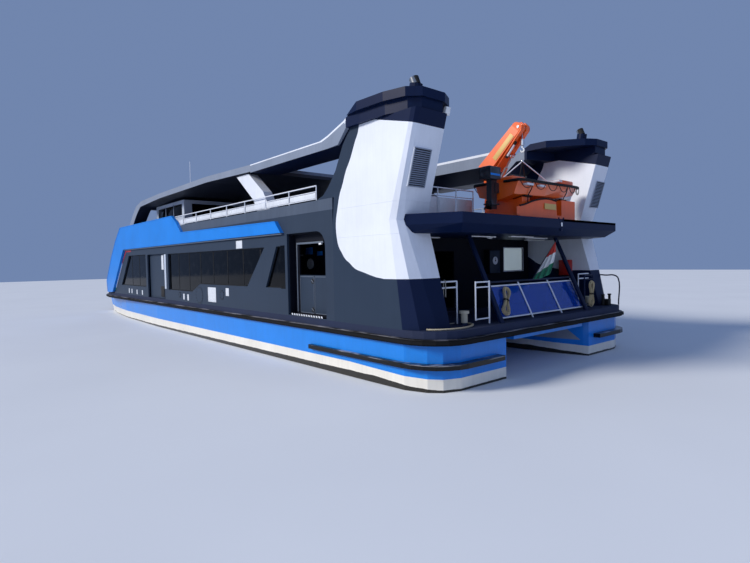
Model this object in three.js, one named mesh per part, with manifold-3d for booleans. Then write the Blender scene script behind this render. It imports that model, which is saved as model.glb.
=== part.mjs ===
// Twin-hulled passenger ferry afloat, in millimetres: +X to the bow, +Y to port, +Z up.
// The origin is in the waterline plane, at mid-length on the centreline.
// Inside this file x is a station, counted forward from the aftmost point of the deck fender.
import * as THREE from 'three';
import { mergeVertices } from 'three/addons/utils/BufferGeometryUtils.js';
import Module from 'manifold-3d';

const wasm = await Module();
wasm.setup();

// Driving dimensions
const LENGTH = 34900;
const GAP = 0.3;                 // left between pieces that rest on each other
const THROUGH = 50;              // how far a cutter runs past the faces it cuts
const FENDER = 150;              // thickness of the deck-edge fender
const STERN = FENDER;            // aft edge of the main deck
const HALF_BEAM = 5100;          // side of hull, deck and walls
const SHEET = 80;                // thickness of a side wall
const DECK_Z = 1500;             // main deck
const WET_DECK_Z = 1160;         // top of the hulls
const UPPER_Z = 4380;            // upper deck
const WALL_TOP = 4730;           // side wall, up to the upper deck's bulwark
const BULWARK_TOP = 5060;
const ROOF_Z = 6760;             // edge of the upper deck's roof
const CAP_BOTTOM = 6850;
const CAP_TOP = 7380;
const WALL_AFT = 4150;           // where side walls meet the funnel towers
const SIDES = [{ name: 'port', sign: 1 }, { name: 'starboard', sign: -1 }];

// Finishes
const paint = (color, roughness = 0.45, metalness = 0) =>
  new THREE.MeshStandardMaterial({ color, roughness, metalness });
const HULL_BLUE = paint(0x1f6fd8, 0.35);
const WALL_GREY = paint(0x3d4a5f, 0.4);
const NAVY = paint(0x14223f, 0.4);
const WHITE = paint(0xe6e9ee, 0.35);
const LIGHT_GREY = paint(0xa9b3c2, 0.45);
const DARK_GREY = paint(0x2a3442, 0.5);
const RUBBER = paint(0x1c1d20, 0.8);
const GLASS = paint(0x10161f, 0.08, 0.2);
const ORANGE = paint(0xe0521a, 0.45);
const STEEL = paint(0xb9bec4, 0.3, 0.9);
const BRONZE = paint(0x9a7a45, 0.35, 0.9);
const ROPE = paint(0xa89a78, 0.9);
const CLOTH = paint(0xd8dcd8, 0.9);

// Solids
function toSolid(geometry) {
  const bare = geometry.index ? geometry : geometry.clone();
  for (const name of Object.keys(bare.attributes)) if (name !== 'position') bare.deleteAttribute(name);
  const merged = mergeVertices(bare, 1e-3);
  const mesh = new wasm.Mesh({
    numProp: 3,
    vertProperties: new Float32Array(merged.attributes.position.array),
    triVerts: new Uint32Array(merged.index.array),
  });
  return new wasm.Manifold(mesh);
}

function join(first, ...others) {
  return others.reduce((sum, next) => sum.add(next), first);
}

function cut(first, ...others) {
  return others.reduce((rest, next) => rest.subtract(next), first);
}

function box(x0, x1, y0, y1, z0, z1) {
  const geometry = new THREE.BoxGeometry(x1 - x0, y1 - y0, z1 - z0);
  geometry.translate((x0 + x1) / 2, (y0 + y1) / 2, (z0 + z1) / 2);
  return toSolid(geometry);
}

const shapeOf = (points) => new THREE.Shape(points.map(([a, b]) => new THREE.Vector2(a, b)));

// A plan outline in x and y, raised from z0 to z1.
function planPrism(points, z0, z1, holes = []) {
  const geometry = new THREE.ExtrudeGeometry(shapeOf(points), { depth: z1 - z0, bevelEnabled: false });
  geometry.translate(0, 0, z0);
  return cut(toSolid(geometry), ...holes.map((hole) => planPrism(hole, z0 - THROUGH, z1 + THROUGH)));
}

// A side outline in x and z, widened from y0 to y1.
function sidePrism(points, y0, y1, holes = []) {
  const geometry = new THREE.ExtrudeGeometry(shapeOf(points), { depth: y1 - y0, bevelEnabled: false });
  geometry.rotateX(Math.PI / 2);
  geometry.translate(0, y1, 0);
  return cut(toSolid(geometry), ...holes.map((hole) => sidePrism(hole, y0 - THROUGH, y1 + THROUGH)));
}

// A straight round bar between two points.
function rod(from, to, radius, sides = 8) {
  const a = new THREE.Vector3(...from);
  const b = new THREE.Vector3(...to);
  const geometry = new THREE.CylinderGeometry(radius, radius, a.distanceTo(b), sides);
  const turn = new THREE.Quaternion().setFromUnitVectors(new THREE.Vector3(0, 1, 0), b.clone().sub(a).normalize());
  geometry.applyQuaternion(turn);
  geometry.translate((a.x + b.x) / 2, (a.y + b.y) / 2, (a.z + b.z) / 2);
  return toSolid(geometry);
}

// A closed solid through rings that have the same number of corners, first and last ring capped.
function loft(rings) {
  const corners = rings[0].length;
  const positions = rings.flat(2);
  const index = [];
  for (let r = 0; r + 1 < rings.length; r++) {
    for (let c = 0; c < corners; c++) {
      const a = r * corners + c;
      const b = r * corners + (c + 1) % corners;
      index.push(a, b, a + corners, b, b + corners, a + corners);
    }
  }
  const last = (rings.length - 1) * corners;
  for (let c = 1; c + 1 < corners; c++) {
    index.push(0, c + 1, c);
    index.push(last, last + c, last + c + 1);
  }
  const geometry = new THREE.BufferGeometry();
  geometry.setAttribute('position', new THREE.Float32BufferAttribute(positions, 3));
  geometry.setIndex(index);
  const solid = toSolid(geometry);
  return solid.volume() >= 0 ? solid : toSolid(flipped(geometry));
}

function flipped(geometry) {
  const turned = geometry.clone();
  const index = turned.index.array;
  for (let i = 0; i < index.length; i += 3) [index[i + 1], index[i + 2]] = [index[i + 2], index[i + 1]];
  return turned;
}

// A round cord or rail along a smooth route.
function tube(points, radius, sides, steps) {
  const path = new THREE.CatmullRomCurve3(points.map((p) => new THREE.Vector3(...p)), false, 'centripetal');
  const circle = [];
  for (let i = 0; i < sides; i++) {
    const angle = 2 * Math.PI * i / sides;
    circle.push([radius * Math.cos(angle), radius * Math.sin(angle)]);
  }
  const geometry = new THREE.ExtrudeGeometry(shapeOf(circle), { steps, extrudePath: path, bevelEnabled: false });
  return toSolid(geometry);
}

const mirrorY = (solid) => solid.mirror([0, 1, 0]);
const onSide = (solid, side) => (side.sign > 0 ? solid : mirrorY(solid));

const ship = new THREE.Group();
ship.position.x = -LENGTH / 2;

function piece(name, solid, material) {
  const raw = solid.getMesh();
  const geometry = new THREE.BufferGeometry();
  geometry.setAttribute('position', new THREE.Float32BufferAttribute(raw.vertProperties, 3));
  geometry.setIndex(new THREE.Uint32BufferAttribute(raw.triVerts, 1));
  const mesh = new THREE.Mesh(geometry, material);
  mesh.name = name;
  ship.add(mesh);
  return mesh;
}

// Plan outline of the main deck: straight stern, round quarters, full bow.
const QUARTER = { x: 1150, y: 1000 };           // length and width of a round quarter
const BOW = { start: 28400, fullness: 2.4 };    // where the bow begins to close
function deckOutline(outward) {
  const half = [];
  const quarterCentre = { x: STERN + QUARTER.x, y: HALF_BEAM - QUARTER.y };
  for (let i = 0; i <= 6; i++) {
    const angle = i / 6 * Math.PI / 2;
    half.push([
      quarterCentre.x - (QUARTER.x + outward) * Math.cos(angle),
      quarterCentre.y + (QUARTER.y + outward) * Math.sin(angle),
    ]);
  }
  const reach = LENGTH - FENDER - BOW.start + outward;
  const width = HALF_BEAM + outward;
  for (let i = 0; i <= 12; i++) {
    const angle = i / 12 * Math.PI / 2;
    half.push([
      BOW.start + reach * Math.sin(angle) ** (2 / BOW.fullness),
      width * Math.cos(angle) ** (2 / BOW.fullness),
    ]);
  }
  half[half.length - 1][1] = 0;
  const other = half.slice(0, -1).reverse().map(([x, y]) => [x, -y]);
  return [...half, ...other];
}

// Hulls, each solid: outer side under the deck edge, bilges, flat keel, near-vertical inner side.
// Columns: station, outer side, inner side, keel depth, half-width of the keel flat, rake of the top.
const HULL_SECTIONS = [
  [260, 4150, 2280, -150, 500, 0],
  [420, 4620, 2230, -160, 600, 0],
  [700, 4880, 2180, -180, 700, 0],
  [1300, 5080, 2050, -230, 800, 0],
  [2600, 5095, 1900, -340, 850, 0],
  [3400, 5095, 1900, -600, 850, 0],
  [6500, 5095, 1900, -1250, 800, 0],
  [20000, 5080, 1900, -1300, 700, 0],
  [26500, 4850, 2500, -1250, 400, 250],
  [30500, 4450, 3350, -1050, 150, 900],
  [32300, 4120, 3900, -700, 30, 1300],
];
const BILGE_Z = -450;
function hullRing([x, outer, inner, keel, flat, rake]) {
  const middle = (outer + inner) / 2;
  const bilge = Math.max(BILGE_Z, keel + 60);
  return [
    [x + rake, outer, WET_DECK_Z],
    [x, outer, 0],
    [x, outer - (outer - inner) * 0.04, bilge],
    [x, middle + flat, keel],
    [x, middle - flat, keel],
    [x, inner + (outer - inner) * 0.04, bilge],
    [x, inner, 0],
    [x + rake, inner, WET_DECK_Z],
  ];
}

const STRAKE = { z: 640, height: 130, from: 5400, proud: 110 };
// The lower rubbing strake: a bar that follows the round quarter and stops short of the tunnel.
function quarterStrake() {
  const line = deckOutline(0).filter(([x, y]) => y > 2400 && x < STRAKE.from);
  line.unshift([STERN, 2620]);
  line.push([STRAKE.from, HALF_BEAM]);
  const outer = deckOutline(STRAKE.proud).filter(([x, y]) => y > 2400 && x < STRAKE.from);
  outer.unshift([STERN - STRAKE.proud, 2620]);
  outer.push([STRAKE.from, HALF_BEAM + STRAKE.proud]);
  const inner = deckOutline(-330).filter(([x, y]) => y > 2400 && x < STRAKE.from);
  inner.unshift([STERN + 330, 2620]);
  inner.push([STRAKE.from, HALF_BEAM - 330]);
  return planPrism([...outer, ...inner.reverse()], STRAKE.z - STRAKE.height / 2, STRAKE.z + STRAKE.height / 2);
}

// Propeller, its bracket and the rudder behind it, on each hull's centreline.
const SHAFT = { y: 3500, z: -880, radius: 45, bracketX: 2900 };
const PROPELLER = { x: 2350, hub: 110, blades: 4 };
function shaftBracket() {
  const barrel = rod([SHAFT.bracketX - 180, SHAFT.y, SHAFT.z], [SHAFT.bracketX + 2300, SHAFT.y, SHAFT.z], 100, 12);
  const leg = box(SHAFT.bracketX - 110, SHAFT.bracketX + 110, SHAFT.y - 30, SHAFT.y + 30, SHAFT.z + 20, -300);
  return join(barrel, leg);
}

function propeller() {
  let solid = rod([-190, 0, 0], [SHAFT.bracketX - 180 - 2 * GAP - PROPELLER.x, 0, 0], PROPELLER.hub, 16);
  const blade = planPrism([[-20, 60], [-90, 230], [-60, 400], [0, 420], [70, 390], [100, 220], [20, 60]], -14, 14);
  const pitched = blade.rotate([0, 55, 0]);
  for (let i = 0; i < PROPELLER.blades; i++) solid = solid.add(pitched.rotate([360 / PROPELLER.blades * i, 0, 0]));
  return solid.translate([PROPELLER.x, SHAFT.y, SHAFT.z]);
}

const RUDDER = { x: 1500, top: -400, bottom: -1250, stock: 55, stockTop: -170 };
function rudder() {
  const plan = [[330, 0], [250, 45], [60, 45], [-420, 8], [-420, -8], [60, -45], [250, -45]];
  const blade = planPrism(plan, RUDDER.bottom, RUDDER.top);
  const stock = rod([0, 0, RUDDER.top - 50], [0, 0, RUDDER.stockTop], RUDDER.stock, 12);
  return join(blade, stock).translate([RUDDER.x, SHAFT.y, 0]);
}

for (const side of SIDES) {
  const body = loft(HULL_SECTIONS.map(hullRing));
  const strake = quarterStrake();
  const well = rod([RUDDER.x, SHAFT.y, -700], [RUDDER.x, SHAFT.y, RUDDER.stockTop + 2 * GAP], RUDDER.stock + 6, 16);
  const hull = cut(join(body, strake, shaftBracket()), well);
  piece(`hull_${side.name}`, onSide(hull, side), HULL_BLUE);
  piece(`propeller_${side.name}`, onSide(propeller(), side), BRONZE);
  piece(`rudder_${side.name}`, onSide(rudder(), side), DARK_GREY);
}

// The deck that ties the hulls together, the main deck over it and the fender round its edge.
const BRIDGE = { bottom: 1010, halfWidth: 1895, aft: 280, fore: 28900 };
piece('bridge_deck', box(BRIDGE.aft, BRIDGE.fore, -BRIDGE.halfWidth, BRIDGE.halfWidth, BRIDGE.bottom, WET_DECK_Z),
  HULL_BLUE);

const BOW_BULWARK = { from: 30800, height: 250, thickness: 90 };
const BOLLARDS = [   // station, offset from the centreline
  [820, 3330],
  [27600, 4550],
];
function mainDeck() {
  const plate = planPrism(deckOutline(0), WET_DECK_Z + GAP, DECK_Z);
  const wall = planPrism(deckOutline(0), DECK_Z - 20, DECK_Z + BOW_BULWARK.height, [deckOutline(-BOW_BULWARK.thickness)]);
  const bow = cut(wall, box(-500, BOW_BULWARK.from, -9000, 9000, 0, 9000));
  let deck = join(plate, bow);
  for (const [x, y] of BOLLARDS) {
    for (const sign of [1, -1]) {
      const post = rod([x, sign * y, DECK_Z - 20], [x, sign * y, DECK_Z + 330], 90, 12);
      const head = rod([x, sign * y, DECK_Z + 300], [x, sign * y, DECK_Z + 370], 130, 12);
      deck = join(deck, post, head);
    }
  }
  return deck;
}
piece('main_deck', mainDeck(), DARK_GREY);

function deckFender() {
  const whole = planPrism(deckOutline(FENDER * 0.62), WET_DECK_Z, WET_DECK_Z + FENDER, [deckOutline(GAP)]);
  const belly = planPrism(deckOutline(FENDER), WET_DECK_Z + 35, WET_DECK_Z + FENDER - 35, [deckOutline(GAP)]);
  return join(whole, belly);
}
piece('deck_fender', deckFender(), RUBBER);

// Openings of the side walls, as outlines in x and z.
const FORWARD_WINDOW = [[21600, 2050], [26550, 2050], [24800, 3820], [21600, 3820]];
const DOORWAY = [[18600, DECK_Z + GAP], [21300, DECK_Z + GAP], [21300, 3800], [18600, 3800]];
const AFT_WINDOW = [[7100, 2380], [14060, 2360], [14970, 2000], [18050, 2000], [18050, 3770], [7100, 3770]];
const RECESS = { aft: 4550, fore: 6700, bottom: DECK_Z + 20, top: 4150, corner: 450, depth: 250 };
function recessOutline(inset) {
  const { aft, fore, bottom, top, corner } = RECESS;
  const points = [[fore - inset, bottom + inset], [fore - inset, top - inset]];
  for (let i = 0; i <= 4; i++) {
    const angle = Math.PI / 2 * (1 + i / 4);
    points.push([
      aft + corner + (corner - inset) * Math.cos(angle),
      top - corner + (corner - inset) * Math.sin(angle),
    ]);
  }
  points.push([aft + inset, bottom + inset]);
  return points;
}

// Aft end of a side wall is plumb at the tower, its front end follows the raked front pillar.
const WALL_OUTLINE = [
  [WALL_AFT, DECK_Z + GAP],
  [28350, DECK_Z + GAP],
  [25650, WALL_TOP],
  [WALL_AFT, WALL_TOP],
];
const PILLAR = [[9840, 2100], [7990, 4000], [7270, 4000], [8330, 2100]];
for (const side of SIDES) {
  const openings = [FORWARD_WINDOW, DOORWAY, recessOutline(0)];
  const plate = sidePrism(WALL_OUTLINE, HALF_BEAM - SHEET, HALF_BEAM, openings);
  const window = cut(sidePrism(AFT_WINDOW, HALF_BEAM - 2 * SHEET, HALF_BEAM + SHEET),
    sidePrism(PILLAR, HALF_BEAM - 3 * SHEET, HALF_BEAM + 2 * SHEET));
  piece(`side_wall_${side.name}`, onSide(cut(plate, window), side), WALL_GREY);

  // Panes are bonded behind the wall.
  const paneOut = HALF_BEAM - SHEET - GAP;
  const paneIn = paneOut - 18;
  const aftPane = [[6950, 2230], [13950, 2230], [14850, 1860], [18200, 1860], [18200, 3920], [6950, 3920]];
  piece(`glazing_aft_${side.name}`, onSide(sidePrism(aftPane, paneIn, paneOut), side), GLASS);
  const forwardPane = [[21450, 1900], [26700, 1900], [24900, 3970], [21450, 3970]];
  piece(`glazing_forward_${side.name}`, onSide(sidePrism(forwardPane, paneIn, paneOut), side), GLASS);

  // The boarding door slides forward inside the wall.
  const door = box(19080, 21350, 4905, 4965, DECK_Z + 2 * GAP, 3880);
  piece(`boarding_door_${side.name}`, onSide(door, side), WALL_GREY);

  // The aft side door's tray, with a half-height gate of two leaves in it.
  const trayOut = HALF_BEAM - SHEET - GAP;
  const tray = sidePrism(recessOutline(-60), trayOut - RECESS.depth, trayOut);
  const pocket = sidePrism(recessOutline(40), trayOut - RECESS.depth + 60, trayOut + 50);
  const way = box(4740, 6400, 4000, 5200, 1600, 3880);
  const below = box(4000, 7500, 3000, 6000, 0, DECK_Z + GAP);
  piece(`door_frame_${side.name}`, onSide(cut(tray, pocket, way, below), side), NAVY);
  const leafY = [trayOut - RECESS.depth + 5, trayOut - RECESS.depth + 50];
  const joint = 5560;
  const leaves = [['gate_aft', 4746, joint - 4, 4746], ['gate_fore', joint + 4, 6394, 6394]];
  for (const [name, x0, x1, hingeX] of leaves) {
    let leaf = box(x0, x1, leafY[0], leafY[1], 1620, 2810);
    for (const z of [1720, 2620]) leaf = leaf.add(rod([hingeX, leafY[0], z], [hingeX, leafY[0], z + 90], 5.5, 16));
    piece(`${name}_${side.name}`, onSide(leaf, side), WALL_GREY);
  }
}

// Front of the saloon, raked, with its windows; and the bulkhead to the aft deck.
const FRONT = { foot: 28250, head: 26150, thickness: 70, halfWidth: HALF_BEAM - SHEET - GAP, top: 4219 };
function frontWall() {
  const { foot, head, thickness, halfWidth, top } = FRONT;
  const outline = [[foot, DECK_Z + GAP], [foot + thickness, DECK_Z + GAP], [head + thickness, top], [head, top]];
  let wall = sidePrism(outline, -halfWidth, halfWidth);
  for (const [y0, y1, z0, z1] of [
    [-4600, -2700, 2100, 3850],
    [-2550, -650, 2100, 3850],
    [-500, 500, DECK_Z + 150, 3850],
    [650, 2550, 2100, 3850],
    [2700, 4600, 2100, 3850],
  ]) wall = cut(wall, box(24000, 30000, y0, y1, z0, z1));
  return wall;
}
piece('front_wall', frontWall(), WALL_GREY);
function frontGlass() {
  const { foot, head, top } = FRONT;
  const lean = (foot - head) / (top - DECK_Z);
  const at = (z) => foot - (z - DECK_Z) * lean;
  const low = 1620;
  const high = 4000;
  const outline = [[at(low) - 40, low], [at(low) - 0.6, low], [at(high) - 0.6, high], [at(high) - 40, high]];
  return sidePrism(outline, -4750, 4750);
}
piece('front_glass', frontGlass(), GLASS);

const BULKHEAD = { x: 3560, thickness: 60, halfWidth: 3960, top: 4219 };
function aftBulkhead() {
  const { x, thickness, halfWidth, top } = BULKHEAD;
  const outline = [[x, -halfWidth], [x + thickness, -halfWidth], [x + thickness, halfWidth], [x, halfWidth]];
  const sheet = planPrism(outline, DECK_Z + GAP, top);
  const doorway = box(x - 100, x + 200, 500, 1900, DECK_Z + 100, 3500);
  const windows = [box(x - 100, x + 200, -3550, -2350, 2780, 3620), box(x - 100, x + 200, 2350, 3550, 2780, 3620)];
  const cabinet = box(x - 230, x + 10, -1780, -1150, 2700, 3540);
  return join(cut(sheet, doorway, ...windows), cabinet);
}
piece('aft_bulkhead', aftBulkhead(), NAVY);

// Funnel towers. Columns: height, aft face, fore face, corner cut at the outboard aft edge.
const TOWER = { inner: 3990 };
const TOWER_RINGS = [
  [DECK_Z + GAP, 720, WALL_AFT - GAP, 620],
  [2760, 1060, WALL_AFT - GAP, 450],
  [4250, 1480, WALL_AFT - GAP, 260],
  [5060, 1270, 4060, 200],
  [5800, 1050, 3960, 170],
  [6450, 860, 3600, 150],
  [CAP_BOTTOM - GAP, 745, 3250, 150],
];
function towerRing(inflate) {
  return ([z, aft, fore, corner]) => [
    [aft - inflate, TOWER.inner - inflate, z],
    [fore + inflate, TOWER.inner - inflate, z],
    [fore + inflate, HALF_BEAM + inflate, z],
    [aft + corner - inflate, HALF_BEAM + inflate, z],
    [aft + corner * 0.3 - inflate, HALF_BEAM - corner * 0.3 + inflate, z],
    [aft - inflate, HALF_BEAM - corner + inflate, z],
  ];
}
// The sweep from the bulwark's top up into the tower's fore edge, one sheet thick.
const SWEEP = [[3900, BULWARK_TOP + 1], [4950, BULWARK_TOP + 1], [4600, 5160], [4330, 5380], [3960, 5800], [3700, 5800]];
const LOUVRE = { y0: 4330, y1: 5080, z0: 5040, z1: 5960, proud: 30 };
const QUARTER_RAIL = { x: 1120, from: 3260, bars: [2480, 2640], radius: 22 };
function quarterRail() {
  const { x, from, bars, radius } = QUARTER_RAIL;
  const post = rod([x, from, DECK_Z + GAP], [x, from, bars[1]], radius, 8);
  return join(post, ...bars.map((z) => rod([x, from, z], [x, TOWER.inner + 40, z], radius, 8)));
}
function tower() {
  const shaft = loft(TOWER_RINGS.map(towerRing(0)));
  const sweep = sidePrism(SWEEP, HALF_BEAM - SHEET, HALF_BEAM);
  const aftAt = (z) => 1270 + (z - 5060) * (1050 - 1270) / 740;
  const frame = sidePrism([
    [aftAt(LOUVRE.z0) - LOUVRE.proud, LOUVRE.z0],
    [aftAt(LOUVRE.z0) + 60, LOUVRE.z0],
    [aftAt(LOUVRE.z1) + 60, LOUVRE.z1],
    [aftAt(LOUVRE.z1) - LOUVRE.proud, LOUVRE.z1],
  ], LOUVRE.y0, LOUVRE.y1 - 150);
  return join(shaft, sweep, frame, quarterRail());
}
for (const side of SIDES) piece(`tower_${side.name}`, onSide(tower(), side), WHITE);

// Upper deck inside the walls, and the thick platform that overhangs the aft deck.
const PLATFORM = { aft: 200, fore: 2950, bottom: 3900, edge: 4110, inset: 260 };
const DECK_SLAB_Z = 4220;
const DECK_EDGE = HALF_BEAM - SHEET - GAP;
function upperDeck() {
  const slab = box(PLATFORM.fore + GAP, 25900, -DECK_EDGE, DECK_EDGE, DECK_SLAB_Z, UPPER_Z);
  const gapForTower = (sign) => (sign > 0 ? loft(TOWER_RINGS.map(towerRing(GAP))) : mirrorY(loft(TOWER_RINGS.map(towerRing(GAP)))));
  return cut(slab, gapForTower(1), gapForTower(-1));
}
piece('upper_deck', upperDeck(), DARK_GREY);

const STRUT = { y: 2320, foot: 330, head: 1480, radius: 70 };
function platformRing(z, inset) {
  const { aft, fore } = PLATFORM;
  return [
    [aft + inset, 4100 - inset, z],
    [1500 + inset * 0.4, 4850 - inset * 0.4, z],
    [fore, 4850 - inset * 0.4, z],
    [fore, -4850 + inset * 0.4, z],
    [1500 + inset * 0.4, -4850 + inset * 0.4, z],
    [aft + inset, -4100 + inset, z],
  ];
}
function aftPlatform() {
  const { bottom, edge, inset } = PLATFORM;
  const slab = loft([platformRing(bottom, inset), platformRing(edge, 0), platformRing(UPPER_Z, 0)]);
  const towers = loft(TOWER_RINGS.map(towerRing(GAP)));
  let solid = cut(slab, towers, mirrorY(towers));
  for (const sign of [1, -1]) {
    const strut = rod([STRUT.foot, sign * STRUT.y, DECK_Z - 60], [STRUT.head, sign * STRUT.y, PLATFORM.bottom + 60],
      STRUT.radius, 8);
    solid = join(solid, cut(strut, box(-500, 3000, -9000, 9000, 0, DECK_Z + GAP)));
  }
  return solid;
}
piece('aft_platform', aftPlatform(), NAVY);

// Bulwark of the upper deck on top of each side wall.
for (const side of SIDES) {
  const outline = [[WALL_AFT, WALL_TOP + GAP], [25600, WALL_TOP + GAP], [25300, BULWARK_TOP], [WALL_AFT, BULWARK_TOP]];
  piece(`bulwark_${side.name}`, onSide(sidePrism(outline, HALF_BEAM - SHEET, HALF_BEAM), side), LIGHT_GREY);
}

// Blue fascia: a band along each side, its raked front pillar, and the visor across the bow.
const FASCIA = { out: HALF_BEAM + 120, in: HALF_BEAM + GAP };
const FASCIA_OUTLINE = [
  [6880, 4200],
  [25470, 4200],
  [28290, 1560],
  [28700, DECK_Z + 30],
  [29560, DECK_Z + 30],
  [29700, 2270],
  [28450, 3660],
  [27200, 4780],
  [26040, 5560],
  [17000, 5560],
  [16400, 5200],
  [15840, 4720],
  [7250, 4600],
];
const VISOR = [[26900, 4300], [27400, 4300], [27250, 4780], [26090, 5560], [25700, 5560], [26000, 5300]];
function fascia() {
  const band = sidePrism(FASCIA_OUTLINE, FASCIA.in, FASCIA.out);
  const front = sidePrism(VISOR, -FASCIA.out + 10, FASCIA.out - 10);
  return join(front, band, mirrorY(band));
}
piece('fascia', fascia(), HULL_BLUE);

// Roof of the upper deck: a thin crowned band, raked front posts, and the two leaning arch legs.
const ROOF = { aft: 9100, thickness: 240 };
const ROOF_TOP = [[9100, 6760], [13000, 6880], [19000, 6850], [22000, 6770], [23000, 6560], [23700, 6120],
  [24400, 5600], [24900, BULWARK_TOP + 2]];
const ROOF_UNDER = [[24300, BULWARK_TOP + 2], [23900, 5400], [23250, 5900], [22700, 6250], [22200, 6480],
  [19000, 6610], [13000, 6640], [9100, 6520]];
const ARCH = [[9600, 6600], [8410, 5740], [7450, UPPER_Z + GAP], [8420, UPPER_Z + GAP], [9130, 5510], [10550, 6600]];
function roof() {
  const band = sidePrism([...ROOF_TOP, ...ROOF_UNDER], -HALF_BEAM, HALF_BEAM);
  const windscreen = box(22450, 26000, -4450, 4450, 4000, 6420);
  const legs = [sidePrism(ARCH, 4640, 4990), mirrorY(sidePrism(ARCH, 4640, 4990))];
  return join(cut(band, windscreen), ...legs);
}
piece('roof', roof(), LIGHT_GREY);

// Side beams that run on from the roof to the tower caps, sky showing between them.
const CAP_OUTLINE = [[800, 4000], [1030, 3580], [2070, 2800], [9098, 2800], [9098, HALF_BEAM], [4300, HALF_BEAM],
  [2700, 5320], [1700, 5280], [1070, 5120], [800, 4800]];
const BEAM_PROFILE = [[780, 6960], [980, CAP_BOTTOM], [3300, CAP_BOTTOM], [3750, 6480], [9098, 6480], [9098, ROOF_Z],
  [4700, ROOF_Z], [3400, 7060], [2700, CAP_TOP], [780, CAP_TOP]];
const EXHAUST = { x: 1500, y: 4300, radius: 170, top: 7720 };
// Under the cap's lip the cap is set back, flush with the tower; inboard of the tower only the lip runs on.
const LIP_BOTTOM = 7150;
const CAP_SETBACK = [[870, 4010], [2450, 4010], [2850, 2800], [9098, 2800], [9098, HALF_BEAM], [4300, HALF_BEAM],
  [3300, 5210], [2700, 5210], [1750, 5170], [1110, 5010], [870, 4760]];
// The beam's section across the ship: low at the side, rising to a high inner girder.
const GIRDER = {
  from: 3800,
  section: [[2800, 6870], [3990, 6480], [4010, 6480], [4010, 6760], [3400, CAP_TOP], [2800, CAP_TOP]],
  taper: [[7300, CAP_TOP], [9200, 6870], [9200, 8000], [7300, 8000]],
};
function roofBeam() {
  const plan = join(planPrism(CAP_OUTLINE, LIP_BOTTOM, 8000), planPrism(CAP_SETBACK, 6000, LIP_BOTTOM + 100));
  const outboard = cut(sidePrism(BEAM_PROFILE, 2000, 6000), box(GIRDER.from, 9500, 1900, 3990, 6000, 8000));
  const girder = cut(sidePrism(GIRDER.section, -9098, -GIRDER.from + 10).rotate([0, 0, 90]),
    sidePrism(GIRDER.taper, 0, 9000));
  const pipe = rod([EXHAUST.x + 60, EXHAUST.y, CAP_TOP - 40], [EXHAUST.x, EXHAUST.y, EXHAUST.top], EXHAUST.radius, 14);
  const bore = rod([EXHAUST.x + 30, EXHAUST.y, CAP_TOP + 60], [EXHAUST.x, EXHAUST.y, EXHAUST.top + 50],
    EXHAUST.radius - 20, 14);
  return cut(join(plan.intersect(outboard), girder, pipe), bore);
}
for (const side of SIDES) piece(`roof_beam_${side.name}`, onSide(roofBeam(), side), NAVY);

// Wheelhouse: four walls with their windows, under the roof.
const WHEELHOUSE = { aft: 17800, fore: 22000, halfWidth: 4300, top: 6475, wall: 70 };
function wheelhouse() {
  const { aft, fore, halfWidth, top, wall } = WHEELHOUSE;
  const outer = [[aft, -halfWidth], [fore, -halfWidth], [fore, halfWidth], [aft, halfWidth]];
  const inner = [[aft + wall, -halfWidth + wall], [fore - wall, -halfWidth + wall],
    [fore - wall, halfWidth - wall], [aft + wall, halfWidth - wall]];
  const walls = planPrism(outer, UPPER_Z + GAP, top, [inner]);
  return cut(walls,
    box(18100, 21700, -9000, 9000, 5670, 6300),
    box(fore - 500, fore + 500, -4000, 4000, 5400, 6300),
    box(aft - 500, aft + 500, -450, 450, UPPER_Z + 100, 6300),
    box(aft - 500, aft + 500, -3900, -900, 5500, 6300),
    box(aft - 500, aft + 500, 900, 3900, 5500, 6300));
}
piece('wheelhouse', wheelhouse(), LIGHT_GREY);

// Rails of the upper deck: posts on the bulwark and three bars, one solid a side.
const RAIL = { y: HALF_BEAM - 40, from: 5000, spans: 12, pitch: 1560, bars: [5115, 5330, 5505], radius: 22 };
function sideRail() {
  const { y, from, spans, bars, radius, pitch } = RAIL;
  const to = from + spans * pitch;
  const top = bars[bars.length - 1];
  const posts = [];
  for (let i = 0; i <= spans; i++) {
    const x = from + i * pitch;
    posts.push(rod([x, y, BULWARK_TOP + GAP], [x, y, top], radius - 4, 6));
  }
  return join(...bars.map((z) => rod([from, y, z], [to, y, z], z === top ? radius : radius - 6, 6)), ...posts);
}
for (const side of SIDES) piece(`side_rail_${side.name}`, onSide(sideRail(), side), WHITE);

// Stern balustrade, raked like the struts, with one glass screen behind its frame.
const SCREEN = { mullions: [2180, 620, -1000, -2450], foot: 480, lean: 0.5, low: DECK_Z + 90, high: 2450, rail: 2560 };
const screenX = (z) => SCREEN.foot + (z - DECK_Z) * SCREEN.lean;
const STAFF = { foot: [1010, -170, 2560], head: [170, -170, 3740], radius: 18 };
function sternRail() {
  const { mullions, low, high, rail } = SCREEN;
  const port = mullions[0];
  const starboard = mullions[mullions.length - 1];
  let solid = rod([screenX(rail), starboard, rail], [screenX(rail), port, rail], 30, 8);
  for (const z of [low, high]) {
    solid = join(solid, rod([screenX(z), starboard, z], [screenX(z), port, z], 22, 6));
  }
  const underDeck = box(-1000, 3000, -9000, 9000, 0, DECK_Z + GAP);
  for (const y of mullions) {
    solid = join(solid, cut(rod([screenX(DECK_Z - 80), y, DECK_Z - 80], [screenX(rail), y, rail], 24, 6), underDeck));
  }
  return solid.add(rod(STAFF.foot, STAFF.head, STAFF.radius, 12));
}
piece('stern_rail', sternRail(), WHITE);
function sternGlass() {
  const { mullions, low, high } = SCREEN;
  const near = 27.3;
  const far = near + 16;
  const outline = [[screenX(low) + near, low], [screenX(low) + far, low],
    [screenX(high) + far, high], [screenX(high) + near, high]];
  return sidePrism(outline, mullions[mullions.length - 1] + 40, mullions[0] - 40);
}
piece('stern_glass', sternGlass(), GLASS);

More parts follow.
